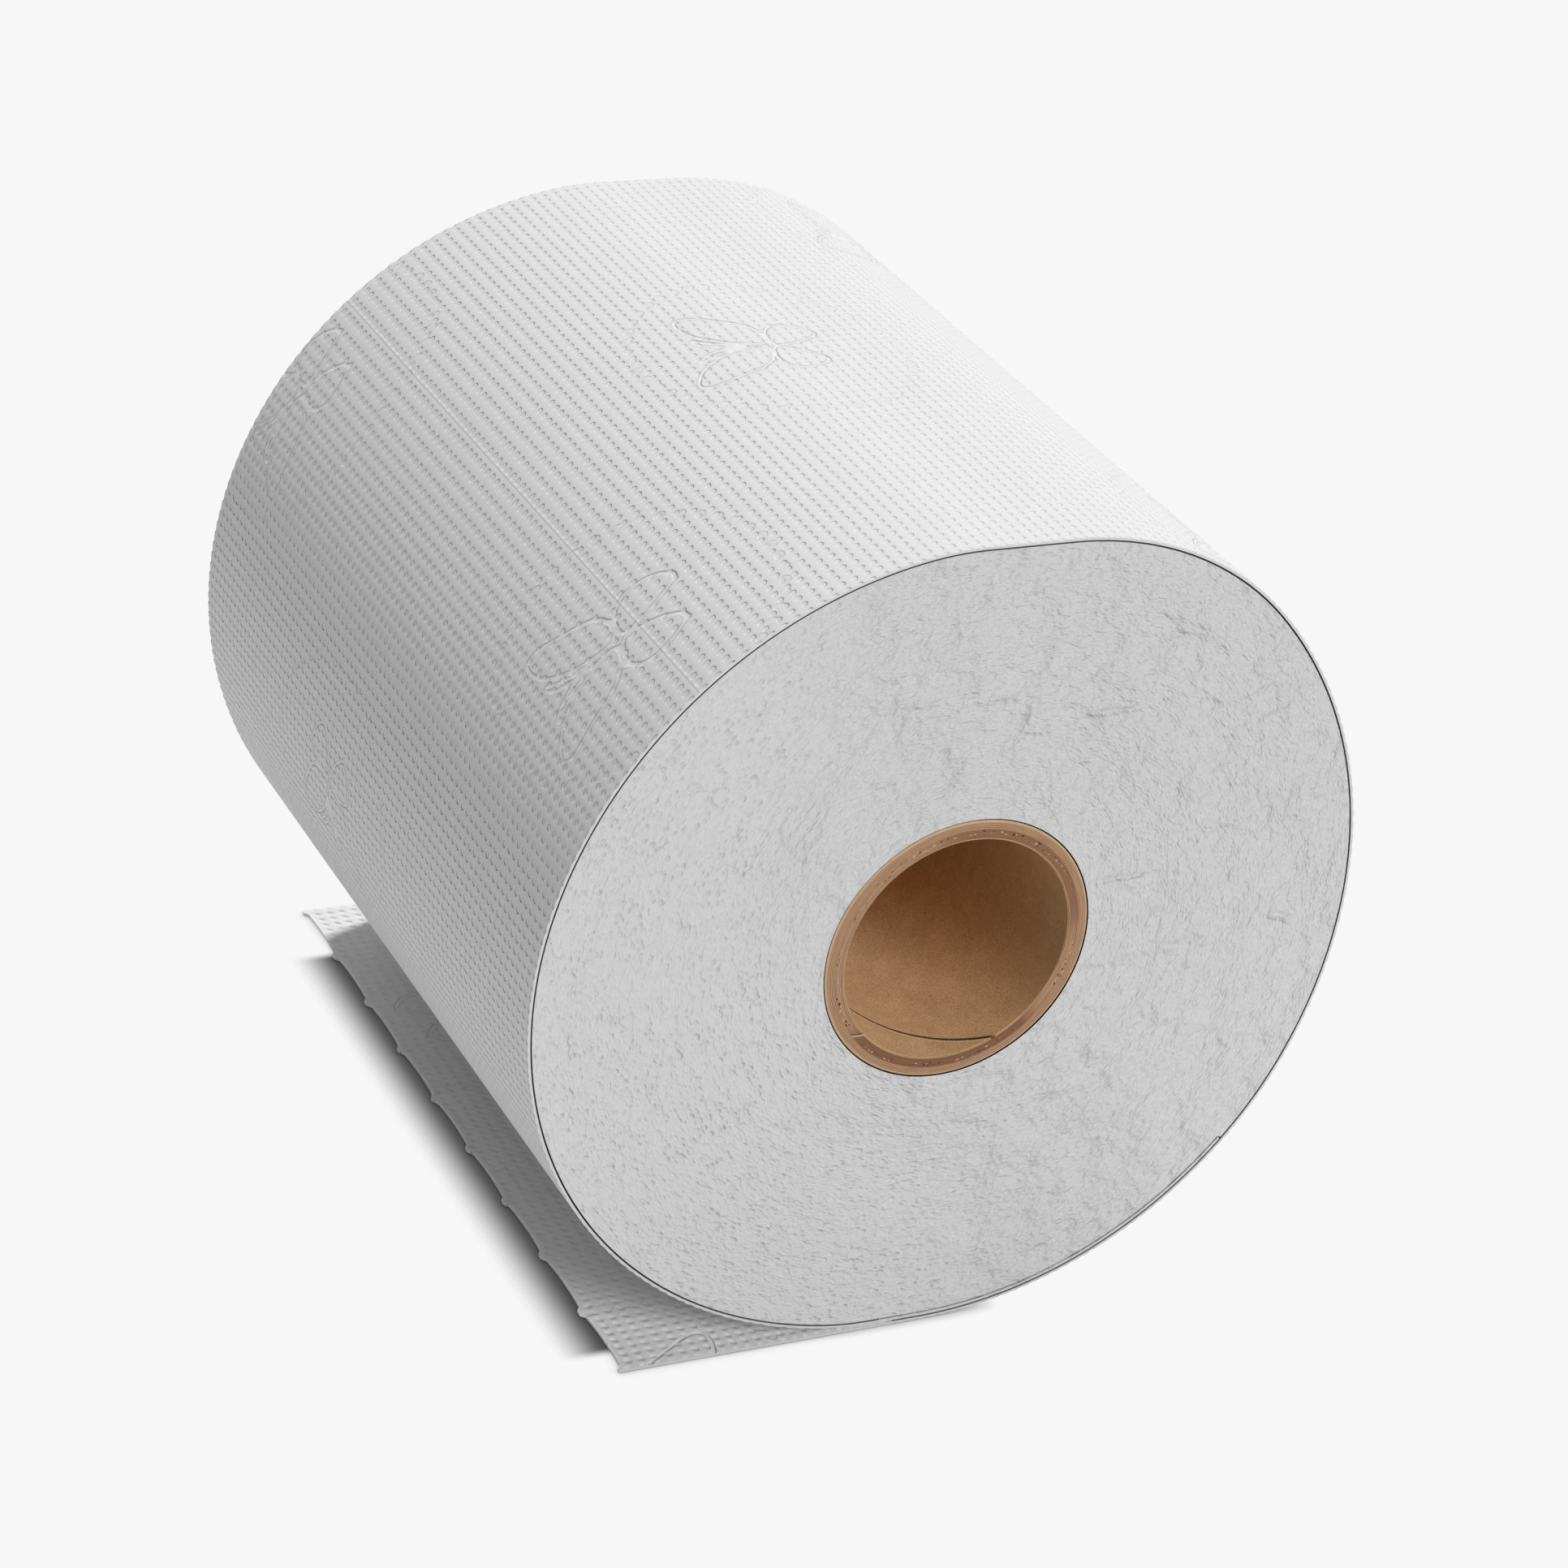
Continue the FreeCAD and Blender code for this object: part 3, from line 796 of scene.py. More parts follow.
def calc(operation, *values):
    return addNode("Math", dict(enumerate(values)), operation=operation)


def split(vector):
    node = addNode("SeparateXYZ", {0: vector}).socket.node
    return [Wire(socket) for socket in node.outputs]


def join(*parts):
    return addNode("CombineXYZ", dict(enumerate(parts)))


def length(a, b):
    return addNode("VectorMath", {0: join(a, b, 0.0)}, "Value", operation="LENGTH")


def shift(vector, by):
    return addNode("VectorMath", {0: vector, 1: by}, operation="ADD")


def scaled(vector, factor):
    return addNode("VectorMath", {0: vector, "Scale": factor}, operation="SCALE")


def ramp(value, low, high, atLow, atHigh):
    # Smooth change between two values.
    inputs = {"Value": value, "From Min": low, "From Max": high, "To Min": atLow, "To Max": atHigh}
    return addNode("MapRange", inputs, "Result", interpolation_type="SMOOTHSTEP")


def rise(value, low, high, top=1.0):
    return ramp(value, low, high, 0.0, top)


def fall(value, low, high, top=1.0):
    return ramp(value, low, high, top, 0.0)


def band(value, start, peakFrom, peakTo, end):
    # One between the two peaks, falling smoothly to zero at the start and the end.
    return rise(value, start, peakFrom) * fall(value, peakTo, end)


def grain(vector, scale, detail=2.0, roughness=0.5):
    inputs = {"Vector": vector, "Scale": scale, "Detail": detail, "Roughness": roughness}
    return addNode("TexNoise", inputs, "Fac")


def cells(vector, scale):
    # Distance to the nearest of many scattered points, and a colour for each point.
    distance = addNode("TexVoronoi", {"Vector": vector, "Scale": scale}, "Distance")
    return distance, Wire(distance.socket.node.outputs["Color"])


def grey(value):
    return (value, value, value, 1)


def mixColor(amount, first, second):
    inputs = {"Factor": amount, "A": first, "B": second}
    return addNode("Mix", inputs, "Result", data_type="RGBA")


def newMaterial(name, roughness=0.5, specular=0.5):
    material = bpy.data.materials.new(name)
    material.use_nodes = True
    shader = material.node_tree.nodes["Principled BSDF"]
    put(roughness, shader.inputs["Roughness"])
    put(specular, shader.inputs["Specular IOR Level"])
    return material, material.node_tree, shader


def newGroup(name, inputs, outputs):
    # A node group. Its inputs are a name and a value each, None for a vector.
    group = bpy.data.node_groups.new(name, "ShaderNodeTree")
    for socket, value in inputs.items():
        kind = "NodeSocketVector" if value is None else "NodeSocketFloat"
        made = group.interface.new_socket(socket, in_out="INPUT", socket_type=kind)
        if value is not None:
            made.default_value = value
    for socket in outputs:
        group.interface.new_socket(socket, in_out="OUTPUT", socket_type="NodeSocketFloat")
    given = {socket.name: Wire(socket) for socket in group.nodes.new("NodeGroupInput").outputs}
    return group, given, group.nodes.new("NodeGroupOutput").inputs


def useGroup(group, **values):
    node = addNode("Group", values, node_tree=group).socket.node
    return {socket.name: Wire(socket) for socket in node.outputs}


def addBump(shader, height):
    # Heights are in millimetres.
    bump = addNode("Bump", {"Strength": 1, "Distance": mm, "Height": height}, "Normal")
    put(bump, shader.inputs["Normal"])


def objectPlace(tree):
    # Object coordinates in metres.
    return Wire(tree.nodes.new("ShaderNodeTexCoord").outputs["Object"])


def placeInRoll(tree):
    # Millimetres from the middle of the core.
    return scaled(shift(objectPlace(tree), (0, 0, -axisZ)), 1 / mm)


# Sizes in the materials are millimetres.

grainLook = {
    "fineSize": 0.22,
    "fineHeight": 0.012,
    "fibreSize": 0.9,
    "fibreHeight": 0.02,
}


def makeGrainGroup():
    # Fine tooth of the tissue.
    group, given, results = newGroup("tissueGrain", {"Place": None}, ["Height"])
    fine = grain(given["Place"], 1 / grainLook["fineSize"], 1.0)
    fibre = grain(given["Place"], 1 / grainLook["fibreSize"])
    put(fine * grainLook["fineHeight"] + fibre * grainLook["fibreHeight"], results["Height"])
    return group


pressed = {
    "lineHalf": 0.31,
    "lineFlat": 0.12,
    "lineDepth": 0.16,
    "dotAlong": 0.35,  # half sizes of a dot's oval
    "dotAcross": 0.42,
    "dotLean": 0.25,
    "dotDepth": 0.10,
    "backDepth": 0.14,  # softer and deeper seen from the back
    "wander": 0.5,  # how far the outlines stray
    "crisp": (203, 252, 274, 312),  # along the web: the dots are crispest between the middle two
    "crispLeast": 0.65,
    "crispGrow": 1.2,
    "beads": 46,
    "ringAlong": 15.9,
    "ringAcross": 19.2,
    "ringTurn": -18,  # degrees
    "beadRadius": 0.66,
    "beadDepth": 0.08,
}
tissueTone = {"sheet": 0.81, "cutEdge": 0.72}
# Painted light and shade of the pattern: how much paler or darker than the sheet each
# part is painted. The darker and paler bands round the pressed shapes are painted shade and painted highlights.
paintedPressLight = {
    "lineBottom": 0.05,
    "lineRim": -0.11,
    "dotBottom": -0.02,
    "dotFoot": 0.03,
    "dotWall": 0.06,  # painted shade on one wall and a painted highlight on the other, as if lit from one fixed side
    "dotRim": -0.03,
    # painted light on the tail, which shows the web's inside and lies in the roll's shadow
    "inside": 0.12,
    # painted highlight along the torn edge
    "tornEdge": 0.23,
    "beadRim": -0.06,
    # painted shade just past the perforation's crease and a painted highlight just before it
    "perforationPast": -0.28,
    "perforationBefore": 0.12,
}


def pressedDots(along, across):
    # Distance from the middle of the nearest dot, one at its outline; which of its walls
    # this is, from -1 on the side away from the painted light to 1 on the side towards it; and the distance past a
    # perforation.
    whole = patternLength / mm
    first = emboss["firstDot"] / mm
    step = (whole - first - emboss["lastDot"] / mm) / (emboss["dotsAlong"] - 1)
    rowStep = webWidth / mm / emboss["rowsAcross"]
    local = along % whole
    number = calc("MAXIMUM", round((local - first) / step), 0.0)
    number = calc("MINIMUM", number, emboss["dotsAlong"] - 1.0)
    rows = (across - frontY / mm) / rowStep
    v = (rows - round(rows)) * rowStep
    u = v * pressed["dotLean"] + (local - (number * step + first))
    u /= pressed["dotAlong"]
    v /= pressed["dotAcross"]
    away = length(u, v)
    wall = (u * 0.75 + v * 0.65) / calc("MAXIMUM", away, 0.3)
    fromTear = local - (local > whole / 2) * whole
    return away, wall, fromTear + (along < 2.0)  # no perforation is left at the torn end


def ringBeads(along, across, wander):
    # Distance from the nearest bead of the ring round each figure, one at its outline.
    (a, b), (c, d) = ([value / mm for value in emboss[key]] for key in ("stepFirst", "stepSecond"))
    area = a * d - b * c
    u = along - emboss["figureAlong"] / mm
    v = across - emboss["figureAcross"] / mm
    p = u * (d / area) - v * (c / area)
    q = v * (a / area) - u * (b / area)
    p -= round(p)
    q -= round(q)
    u = p * a + q * c
    v = p * b + q * d
    turn = math.radians(pressed["ringTurn"])
    x = u * math.cos(turn) + v * math.sin(turn)
    y = v * math.cos(turn) - u * math.sin(turn)
    ringX, ringY = pressed["ringAlong"], pressed["ringAcross"]
    step = 2 * math.pi / pressed["beads"]
    bead = round(calc("ARCTAN2", y / ringY, x / ringX) / step) * step
    away = length(x - calc("COSINE", bead) * ringX, y - calc("SINE", bead) * ringY)
    return (away + wander * 0.9) / pressed["beadRadius"]


def makePatternGroup():
    # Pressed dots, lines and beads. Pattern is the place along and across, and the
    # distance to an outline. The second output is the pattern's painted light and shade: how much paler or darker each
    # part is painted.
    group, given, results = newGroup("pressedPattern", {"Pattern": None}, ["Height", "Tone"])
    pattern = given["Pattern"]
    along, across, outline = split(pattern)
    wander = grain(pattern, 0.7, 1.0) * pressed["wander"] - pressed["wander"] / 2
    fromLine = abs(wander * 0.35 + outline)
    away, wall, fromTear = pressedDots(along, across)
    away = wander * 0.4 + away
    fromBead = ringBeads(along, across, wander)
    back = along < tear["seenInside"] / mm
    # The dots are flatter where the web is drawn tight over the top.
    crisp = band(along, *pressed["crisp"]) * pressed["crispGrow"] + pressed["crispLeast"]
    front = (1.0 - back) * crisp

    half, flat = pressed["lineHalf"], pressed["lineFlat"]
    line = fall(fromLine, flat, half, pressed["lineDepth"])
    bead = fall(fromBead, 0.8, 1.1, pressed["beadDepth"])
    dot = fall(away, 0.8, 1.12, pressed["dotDepth"]) * front
    dot += fall(away, 0.1, 1.5, pressed["backDepth"]) * back
    depth = calc("MAXIMUM", calc("MAXIMUM", line, bead), dot)
    put(depth * -1.0, results["Height"])

    # Masks of the painted light and shade.
    masks = {
        "lineBottom": fall(fromLine, flat, half - 0.06),
        "lineRim": band(fromLine, half - 0.06, half, half + 0.04, half + 0.16),
        "dotBottom": fall(away, 0.7, 1.0),
        "dotFoot": band(away, 0.4, 0.6, 0.8, 1.0) * front,
        "dotWall": band(away, 0.45, 0.7, 0.95, 1.2) * wall * front,
        "dotRim": band(away, 1.0, 1.12, 1.18, 1.42) * front,
        "inside": back,
        "tornEdge": fall(along, 0.08, 0.16),
        "beadRim": band(fromBead, 0.95, 1.1, 1.15, 1.35),
        "perforationPast": band(fromTear, 0.0, 0.04, 0.12, 0.2),
        "perforationBefore": band(fromTear, -0.28, -0.2, -0.06, 0.0),
    }
    tone = 1.0
    for name, mask in masks.items():
        tone = mask * paintedPressLight[name] + tone
    put(tone, results["Tone"])
    return group


def embossedTissue(grainGroup, patternGroup):
    material, tree, shader = newMaterial("embossedTissue", 0.95, 0.15)
    pattern = tree.nodes.new("ShaderNodeAttribute")
    pattern.attribute_name = "pattern"
    figures = useGroup(patternGroup, Pattern=Wire(pattern.outputs["Vector"]))
    fine = useGroup(grainGroup, Place=placeInRoll(tree))
    # The web's cut edges, which face along Y, have no pattern.
    geometry = tree.nodes.new("ShaderNodeNewGeometry")
    facing = split(Wire(geometry.outputs["True Normal"]))[1]
    side = abs(facing) < 0.7
    # The sheet's colour carries the pattern's painted light and shade; the cut edges are plain.
    colour = mixColor(side, grey(tissueTone["cutEdge"]), figures["Tone"] * tissueTone["sheet"])
    put(colour, shader.inputs["Base Color"])
    addBump(shader, figures["Height"] * side + fine["Height"])
    return material


# Colours of the painted shade in the gaps.
shadeLook = {
    "dark": 0.2,
    "pale": 0.3,
    "coreGapShade": (0.02, 0.018, 0.016, 1),
}


def shadedTissue():
    # Faces between the last turn and the pack, which little light reaches: their dark colour is painted shade, darkest
    # by the core, where it paints the shade of the gap round the core.
    material, tree, shader = newMaterial("shadedTissue", 1.0, 0.0)
    place = placeInRoll(tree)
    x, _, z = split(place)
    colour = mixColor(grain(place, 0.5), grey(shadeLook["dark"]), grey(shadeLook["pale"]))
    nearCore = length(x, z) < coreRadius / mm + 1
    put(mixColor(nearCore, colour, shadeLook["coreGapShade"]), shader.inputs["Base Color"])
    return material


feltLook = {
    "alongScale": 1.6,  # flecks lie along the turns
    "acrossScale": 3.0,
    "fleckDepth": 0.36,
    "fineGrow": 2.2,
    "lumpHeight": 0.45,
    "poreDepth": 0.18,
    "crumpleHeight": 0.55,
    "softHeight": 2.7,
    "creaseGrow": 3.4,
    "creaseWiden": 1.6,
    "toneLow": 0.78,  # at the bottom of an end: paler, as painted light where the light is weaker
    "toneHigh": 0.72,
    "shade": 0.12,  # how much painted shade darkens the sunk flecks and pores
}
# Creases of the felted end: from x, z to x, z from the axis, half width, height.
endCreases = [
    (-16, 34.4, 5, 33.5, 0.5, 0.07),
    (10.3, 29.7, 22.9, 30.5, 0.5, 0.10),
    (18.5, 43.9, 25, 38.3, 0.7, -0.10),
    (6.4, 30.2, 17.6, 37.6, 0.7, 0.06),
    (37, 26.3, 42, 28.4, 0.5, 0.09),
    (34.4, 29.3, 40, 33, 0.5, 0.08),
    (16.9, 6.7, 27, 7.4, 0.4, 0.08),
    (43, -0.6, 49, -3, 0.6, 0.11),
    (26.4, 1.8, 29.9, -0.3, 0.5, 0.08),
    (3.6, 29.3, 9.2, 28.5, 0.45, 0.07),
    (11.3, 23.7, 14.8, 23.6, 0.35, 0.07),
    (27, 20.5, 33, 15, 0.8, 0.05),
    (20, 40.5, 27, 38.8, 0.4, -0.08),
    (28, 33, 32, 29, 0.6, 0.07),
    (20, 3, 46, -8, 1.2, 0.06),
    (14, -14, 33, -22, 1.3, 0.06),
    (24, 14, 45, 8, 1.2, -0.06),
    (8, 33, 30, 24, 1.2, 0.06),
]


def makeCreaseGroup():
    # One fold: a low ridge along a line, fading at both ends.
    inputs = {"X": 0.0, "Z": 0.0, "Wander": 0.0, "FromX": 0.0, "FromZ": 0.0,
              "Cos": 1.0, "Sin": 0.0, "Length": 1.0, "Half": 1.0, "Rise": 0.1}
    group, g, results = newGroup("fold", inputs, ["Height"])
    dx = g["X"] - g["FromX"]
    dz = g["Z"] - g["FromZ"]
    part = (dx * g["Cos"] + dz * g["Sin"]) / g["Length"]
    across = abs(dz * g["Cos"] - dx * g["Sin"] + g["Wander"])
    ridge = fall(across, 0.0, g["Half"]) * g["Rise"]
    put(ridge * band(part, 0.0, 0.3, 0.7, 1.0), results["Height"])
    return group


def feltedEdges(grainGroup):
    material, tree, shader = newMaterial("feltedEdges", 0.97, 0.1)
    place = placeInRoll(tree)
    x, _, z = split(place)
    radius = length(x, z)
    f, g = feltLook["alongScale"], feltLook["acrossScale"]
    woundWay = join(x * f, radius * g, z * f)
    fleck = grain(woundWay, 1.0)
    # Open pores on the left half, crumpled felt on the right.
    porous = rise(grain(place, 0.03, 1.0) - x * 0.018 - z * 0.006, 0.35, 0.95)
    smooth = 1.0 - porous
    pore = fall(cells(join(x * 0.95, radius * 0.9, z * 0.95), 1.1)[0], 0.08, 0.55)
    pore = pore * ramp(grain(place, 0.45, 1.0), 0.38, 0.62, 0.35, 1.0) * porous
    fold = abs(grain(place, 0.2, 3.0, 0.6) * 2.0 - 1.0)
    crumple = (smooth * 0.75 + 0.25) * (grain(place, 0.36, 3.0, 0.6) - fold * 0.6)
    soft = grain(place, 0.14, 3.0, 0.55) * (smooth * 0.8 + 0.2)
    lump = grain(scaled(woundWay, 0.3), 1.0)
    streak = 1.0 - porous * 0.35
    height = lump * feltLook["lumpHeight"] - fleck * streak * feltLook["fleckDepth"]
    height -= pore * feltLook["poreDepth"]
    height += crumple * feltLook["crumpleHeight"]
    height += soft * feltLook["softHeight"]

    creaseGroup = makeCreaseGroup()
    wander = grain(place, 0.14, 1.5) * 2.4 - 1.2
    for fromX, fromZ, toX, toZ, half, lift in endCreases:
        run = math.hypot(toX - fromX, toZ - fromZ)
        crease = useGroup(creaseGroup, X=x, Z=z, Wander=wander, FromX=fromX, FromZ=fromZ,
                          Cos=(toX - fromX) / run, Sin=(toZ - fromZ) / run, Length=run,
                          Half=half * feltLook["creaseWiden"], Rise=lift * feltLook["creaseGrow"])
        height += crease["Height"]
    fine = useGroup(grainGroup, Place=place)
    addBump(shader, height + fine["Height"] * feltLook["fineGrow"])

    # Painted shade in the sunk flecks and pores.
    shade = calc("MAXIMUM", rise(fleck, 0.5, 0.85, 0.3) * streak, pore * 0.2)
    # Painted light: the end is painted paler towards the bottom, where less light reaches it.
    tone = ramp(z, -50.0, 30.0, feltLook["toneLow"], feltLook["toneHigh"])
    put(tone * (1.0 - shade * feltLook["shade"]), shader.inputs["Base Color"])
    return material


boardLook = {
    "kraft": (0.68, 0.42, 0.21, 1),
    "kraftLight": (0.95, 0.65, 0.37, 1),
    "kraftRed": (0.66, 0.32, 0.24, 1),
    "kraftGreen": (0.62, 0.62, 0.3, 1),
    "boreShadeColour": (0.2, 0.11, 0.06, 1),
    "boreShadeSide": 20,  # degrees, where the bore's painted shade is darkest
    "speck": (0.16, 0.08, 0.04, 1),
    "seam": (0.12, 0.05, 0.025, 1),
    "seamPale": (0.9, 0.68, 0.42, 1),
    "lip": (0.66, 0.42, 0.2, 1),
    "ply": 0.2,
    "edge": (0.56, 0.35, 0.21, 1),
    "edgeDark": (0.21, 0.095, 0.045, 1),
    "innerDark": (0.20, 0.075, 0.035, 1),
    "innerFrom": 15.15,  # radii between which some plies are darker
    "innerTo": 16.5,
    "innerLow": -92,  # degrees, the two sides where they are
    "innerHigh": 55,
    "bubbleRing": 16.2,  # radius of the ring of glue bubbles
    "bubbleDark": (0.10, 0.035, 0.015, 1),
    "bubblePale": (0.62, 0.44, 0.3, 1),
    "notchAt": -141,  # degrees
    "notchRadius": 16.0,
    "notchDark": (0.10, 0.04, 0.02, 1),
    "notchPale": (0.7, 0.48, 0.3, 1),
    "rimPale": (0.78, 0.56, 0.34, 1),
}


def towards(angle, degrees):
    # One where the angle is the given one, and -1 on the other side.
    return calc("COSINE", angle - math.radians(degrees))


def boreColour(place, y, angle, mottle):
    # Mottled kraft with fibres and specks, painted shade on the side of the bore that faces
    # away from the light, and the inner ply's seam: a dark line with a pale cut edge beside it.
    look = boardLook
    tone = mottle * 0.75 + grain(place, 0.35) * 0.25
    colour = mixColor(rise(tone, 0.34, 0.66), look["kraft"], look["kraftLight"])
    red = rise(grain(shift(place, (40.0, 7.0, 0.0)), 2.6), 0.5, 0.7, 0.35)
    colour = mixColor(red, colour, look["kraftRed"])
    green = rise(grain(shift(place, (0.0, 31.0, 9.0)), 2.4), 0.55, 0.75, 0.35)
    colour = mixColor(green, colour, look["kraftGreen"])
    speck = fall(cells(place, 0.4)[0], 0.03, 0.07)
    colour = mixColor(speck * 0.6, colour, look["speck"])
    # Painted shade: the bore's wall is darker on the side that faces away from the light.
    dim = rise(towards(angle, look["boreShadeSide"]), 0.2, 1.0, 0.6)
    colour = mixColor(dim, colour, look["boreShadeColour"])
    turned = (y - frontY / mm) * (2 * math.pi * mm / tube["seamLead"])
    turned += angle - math.radians(tube["seamFront"])
    turned = calc("FRACT", turned * (0.5 / math.pi) + 0.5)
    fromSeam = (turned - 0.5) * (2 * math.pi * tube["bore"] / mm)
    colour = mixColor(band(fromSeam, -0.5, -0.3, 0.3, 0.5), colour, look["seam"])
    return mixColor(band(fromSeam, -1.05, -0.85, -0.65, -0.5), colour, look["seamPale"])


def pliesOfEnd(x, z, radius):
    # Lines between the plies, and how dark each place of a cut end is.
    jitter = grain(join(x, radius * 3.0, z), 0.2)
    ply = jitter * 1.4 + (radius - tube["bore"] / mm) / boardLook["ply"]
    between = rise(abs(calc("FRACT", ply) - 0.5), 0.26, 0.46)
    plyTone = addNode("TexWhiteNoise", {"W": calc("FLOOR", ply)}, "Value", noise_dimensions="1D")
    streak = grain(join(x * 0.35, radius * 5.0, z * 0.35), 1.0)
    return between, plyTone * 0.25 + (between * 0.55 + streak * 0.5)


def glueBubbles(place, radius, angle, edge):
    off = (radius - boardLook["bubbleRing"] + grain(place, 0.5, 1.0) * 0.4) * 1.6
    bubble, kind = cells(join(angle * 11.5, off, 0.0), 2.0)
    present = rise(grain(place, 0.13, 1.0), 0.4, 0.5) * fall(abs(off), 0.25, 0.5)
    pale = split(kind)[0] < 0.4
    colour = mixColor(pale, boardLook["bubbleDark"], boardLook["bubblePale"])
    return mixColor(fall(bubble, 0.26, 0.4) * present, edge, colour)


def plyNotch(radius, angle, edge):
    # Where the inner ply begins, its cut shows as a slanted notch.
    at = boardLook["notchRadius"]
    notch = (radius - at) * 0.9 + (angle - math.radians(boardLook["notchAt"])) * at
    inner = fall(radius, boardLook["innerTo"] - 0.3, boardLook["innerTo"])
    edge = mixColor(band(notch, -0.14, -0.06, 0.04, 0.12) * inner, edge, boardLook["notchDark"])
    return mixColor(band(notch, 0.1, 0.18, 0.25, 0.6) * inner, edge, boardLook["notchPale"])


def spiralBoard():
    material, tree, shader = newMaterial("spiralBoard", 0.85, 0.25)
    place = placeInRoll(tree)
    x, y, z = split(place)
    radius = length(x, z)
    angle = calc("ARCTAN2", z, x)
    mottle = grain(place, 4.5, 2.0, 0.6)
    bore = boreColour(place, y, angle, mottle)

    between, plies = pliesOfEnd(x, z, radius)
    edge = mixColor(rise(plies, 0.25, 1.05), boardLook["edge"], boardLook["edgeDark"])
    innerFrom, innerTo = boardLook["innerFrom"], boardLook["innerTo"]
    lowSide = rise(towards(angle, boardLook["innerLow"]), 0.55, 0.75)
    highSide = rise(towards(angle, boardLook["innerHigh"]), 0.45, 0.8, 0.8)
    dark = band(radius, innerFrom, innerFrom + 0.2, innerTo - 0.2, innerTo)
    dark *= calc("MAXIMUM", lowSide, highSide)
    edge = mixColor(dark * 0.75, edge, boardLook["innerDark"])
    edge = glueBubbles(place, radius, angle, edge)
    edge = plyNotch(radius, angle, edge)
    rim = coreRadius / mm - 0.28
    edge = mixColor(rise(radius, rim, rim + 0.1) * 0.75, edge, boardLook["rimPale"])

    fromMiddle = abs(y)
    half = webWidth / 2 / mm
    atEnd = rise(fromMiddle, half - 0.12, half - 0.05)
    lip = rise(fromMiddle, half - 0.5, half - 0.15, 0.5) * (radius < tube["bore"] / mm + 0.2)
    bore = mixColor(lip, bore, boardLook["lip"])
    put(mixColor(atEnd, bore, edge), shader.inputs["Base Color"])
    addBump(shader, grain(place, 2.2) * 0.03 + mottle * 0.04 - between * atEnd * 0.03)
    return material


# Stage

stage = {
    "floorSize": 6.0,
    "floorDrop": 0.2 * mm,  # the floor is this far under the roll
    "floorSeen": 0.93,
    "floorBounce": 0.82,
    "backFrom": (0.23, 0.54, 0.8),
    "backStrength": 2.33,
    "backAngle": 9,
    "frontFrom": (0.25, -0.82, 0.5),
    "frontStrength": 1.5,
    "frontAngle": 25,
    "skyStrength": 0.2,
    "contactReach": 1.5 * mm,  # painted occlusion shade darkens the floor this close to the roll
    "contactPower": 0.6,
    "contactSamples": 16,
    "shadeNear": 37.7,  # millimetres from the axis, where the tail's painted shadow is darkest
    "shadeFar": 44.8,  # and where it ends
    "shadeSide": -20.0,
    "shadeFront": -52.0,
    "shadeBack": 45.0,
    "shadeLeast": 0.1,  # what the painted shadow leaves of the floor's glow
}


def addSun(name, origin, strength, angle):
    sun = bpy.data.lights.new(name, "SUN")
    sun.energy = strength
    sun.angle = math.radians(angle)
    lamp = bpy.data.objects.new(name, sun)
    lamp.rotation_euler = Vector(origin).to_track_quat("Z", "Y").to_euler()
    bpy.context.scene.collection.objects.link(lamp)


def showCamera(plain, seen, surface):
    # The camera sees one shader, and the light meets the other.
    tree = surface.id_data
    path = tree.nodes.new("ShaderNodeLightPath")
    mix = tree.nodes.new("ShaderNodeMixShader")
    tree.links.new(path.outputs["Is Camera Ray"], mix.inputs["Fac"])
    tree.links.new(plain.outputs[0], mix.inputs[1])
    tree.links.new(seen.outputs[0], mix.inputs[2])
    tree.links.new(mix.outputs["Shader"], surface)


def paintedTailShadow(tree):
    # The tail's soft shadow, painted on the floor: one where it is darkest.
    x, y, _ = split(scaled(objectPlace(tree), 1 / mm))
    across = rise(x, -stage["shadeFar"], -stage["shadeNear"])
    front = rise(y, stage["shadeFront"] - 1, stage["shadeFront"] + 1)
    back = fall(y, stage["shadeBack"] - 1, stage["shadeBack"] + 1)
    return across * front * back * (x < stage["shadeSide"])


def makeFloor():
    bpy.ops.mesh.primitive_plane_add(size=stage["floorSize"], location=(0, 0, -stage["floorDrop"]))
    floor = bpy.context.object
    floor.name = "floor"
    material, tree, shader = newMaterial("paleFloor")
    nodes = tree.nodes
    nodes.remove(shader)
    bounce = nodes.new("ShaderNodeBsdfDiffuse")
    put(grey(stage["floorBounce"]), bounce.inputs["Color"])
    contact = nodes.new("ShaderNodeAmbientOcclusion")
    contact.samples = stage["contactSamples"]
    put(stage["contactReach"], contact.inputs["Distance"])
    # The camera sees the floor as an even glow with painted shade: the tail's painted shadow and an occlusion shade
    # close to the roll.
    lit = 1.0 - paintedTailShadow(tree) * (1 - stage["shadeLeast"])
    lit *= calc("POWER", Wire(contact.outputs["AO"]), stage["contactPower"])
    seen = nodes.new("ShaderNodeEmission")
    put(lit * stage["floorSeen"], seen.inputs["Color"])
    showCamera(bounce, seen, nodes["Material Output"].inputs["Surface"])
    floor.data.materials.append(material)
    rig.stage(floor)


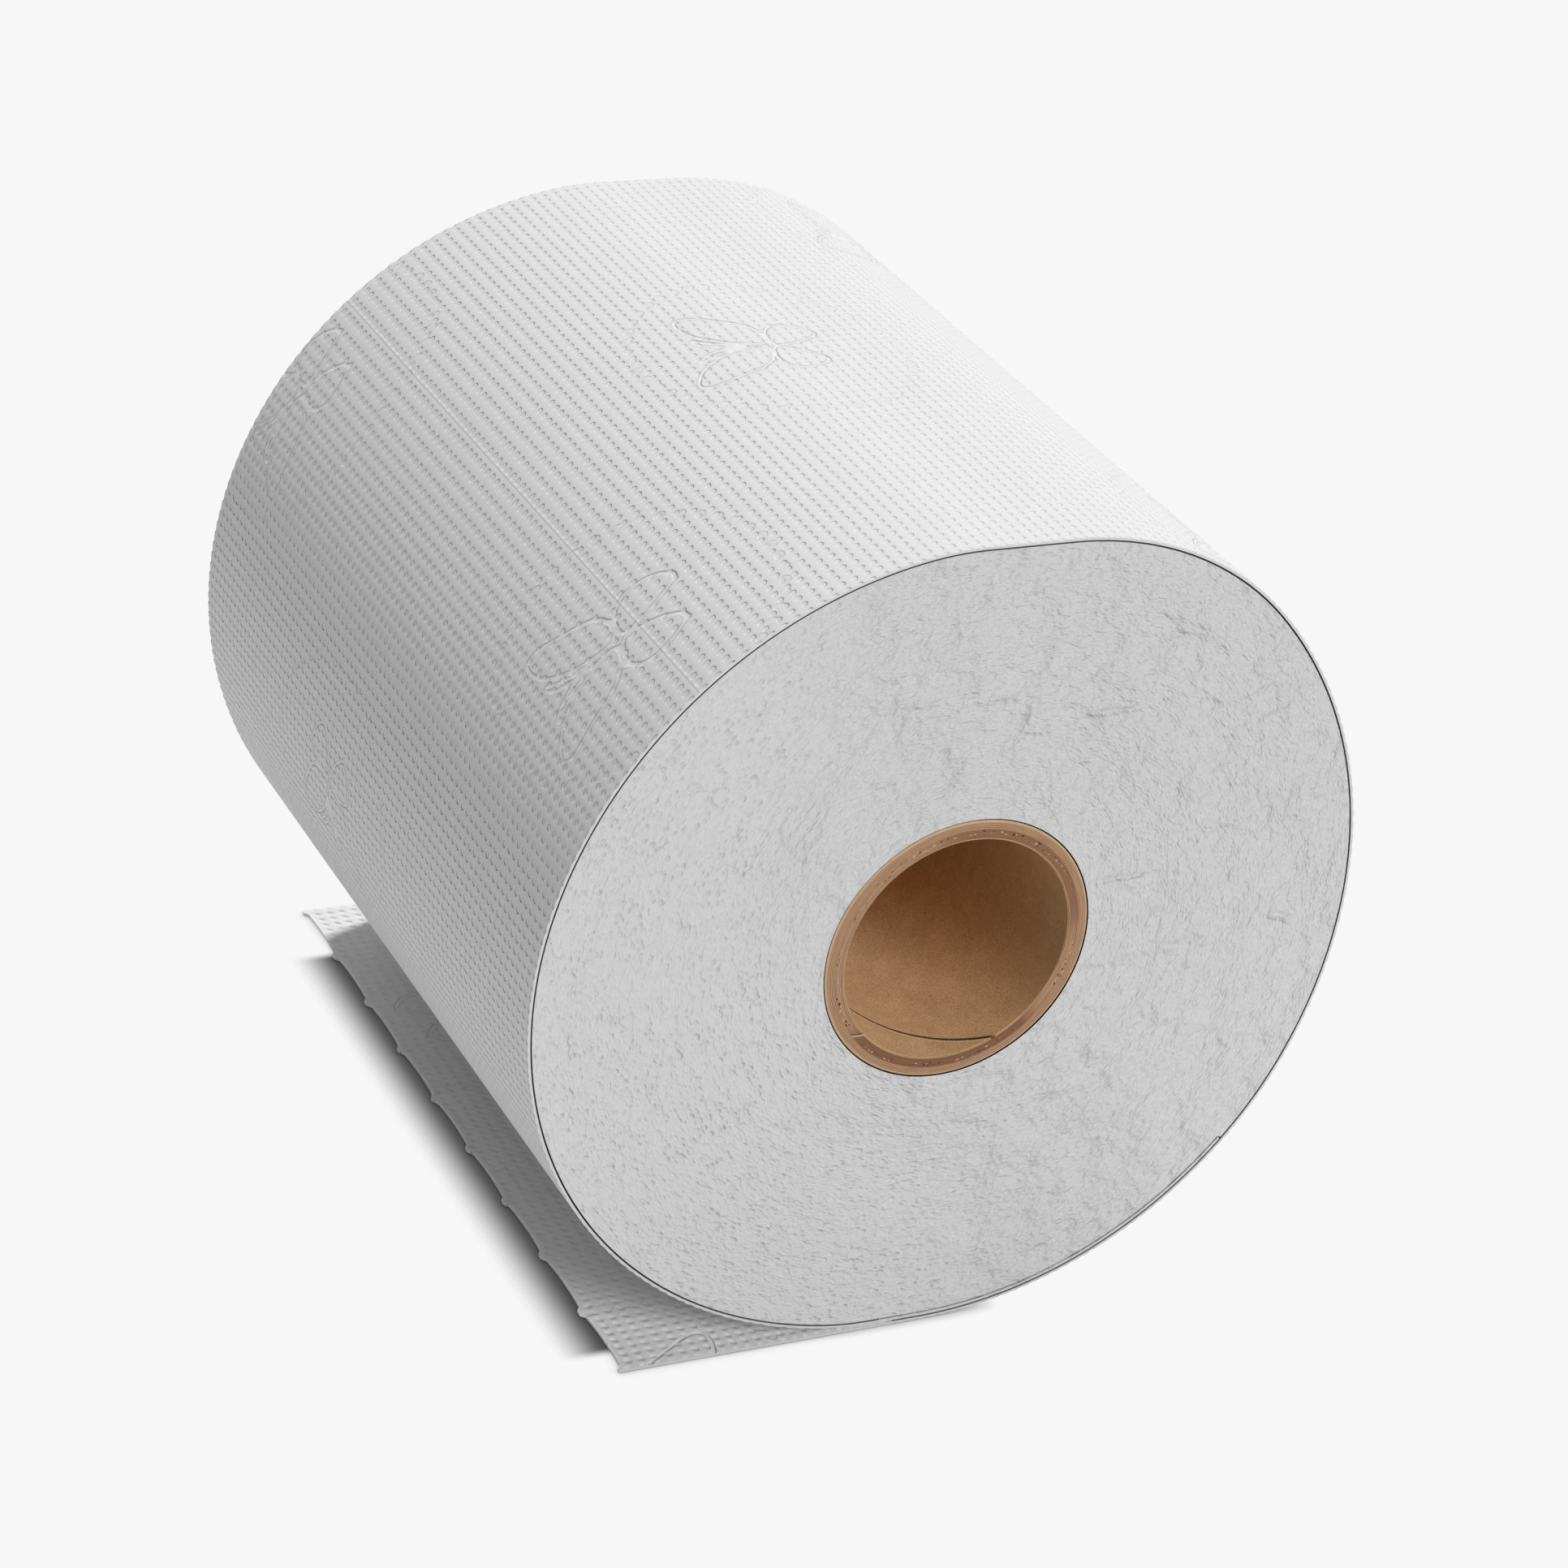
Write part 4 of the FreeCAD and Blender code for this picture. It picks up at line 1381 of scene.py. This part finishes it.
def makeWorld():
    world = bpy.data.worlds.new("studio")
    world.use_nodes = True
    nodes = world.node_tree.nodes
    sky = nodes["Background"]
    put(stage["skyStrength"], sky.inputs["Strength"])
    put(grey(1), sky.inputs["Color"])
    backdrop = nodes.new("ShaderNodeBackground")
    put(grey(stage["floorSeen"]), backdrop.inputs["Color"])
    showCamera(sky, backdrop, nodes["World Output"].inputs["Surface"])
    bpy.context.scene.world = world
    bpy.context.scene.view_settings.view_transform = "Standard"


view = {
    "place": (-241.8 * mm, -445.3 * mm, 315.9 * mm),
    "yaw": 28.97,  # degrees from +Y towards +X
    "down": 27.93,
    "roll": 7.76,
    "lens": 101.18,
}


def makeCamera():
    yaw, down, roll = (math.radians(view[key]) for key in ("yaw", "down", "roll"))
    ahead = Vector((math.sin(yaw) * math.cos(down), math.cos(yaw) * math.cos(down),
                    -math.sin(down)))
    level = Vector((math.cos(yaw), -math.sin(yaw), 0))
    upright = level.cross(ahead)
    right = level * math.cos(roll) + upright * math.sin(roll)
    up = upright * math.cos(roll) - level * math.sin(roll)
    data = bpy.data.cameras.new("camera")
    data.lens = view["lens"]
    data.sensor_width = 36
    camera = bpy.data.objects.new("camera", data)
    axes = Matrix((right, up, -ahead)).transposed()
    camera.matrix_world = Matrix.Translation(view["place"]) @ axes.to_4x4()
    bpy.context.scene.collection.objects.link(camera)
    bpy.context.scene.camera = camera


print("tissue and board")
grainGroup = makeGrainGroup()
tissue = embossedTissue(grainGroup, makePatternGroup())
shaded = shadedTissue()
print("sheets of the last turn")
for number in range(web["sheets"]):
    makeSheet(number, tissue, shaded)
print("wound turns")
makeWoundTurns(feltedEdges(grainGroup), shaded)
print("core")
makeCore(spiralBoard())
print("stage")
makeFloor()
addSun("backLight", stage["backFrom"], stage["backStrength"], stage["backAngle"])
addSun("frontLight", stage["frontFrom"], stage["frontStrength"], stage["frontAngle"])
makeWorld()
makeCamera()

with open("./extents.json", "w") as sizes:
    json.dump({"cad": cadSize, "visual": plainBox(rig.bounds())}, sizes)
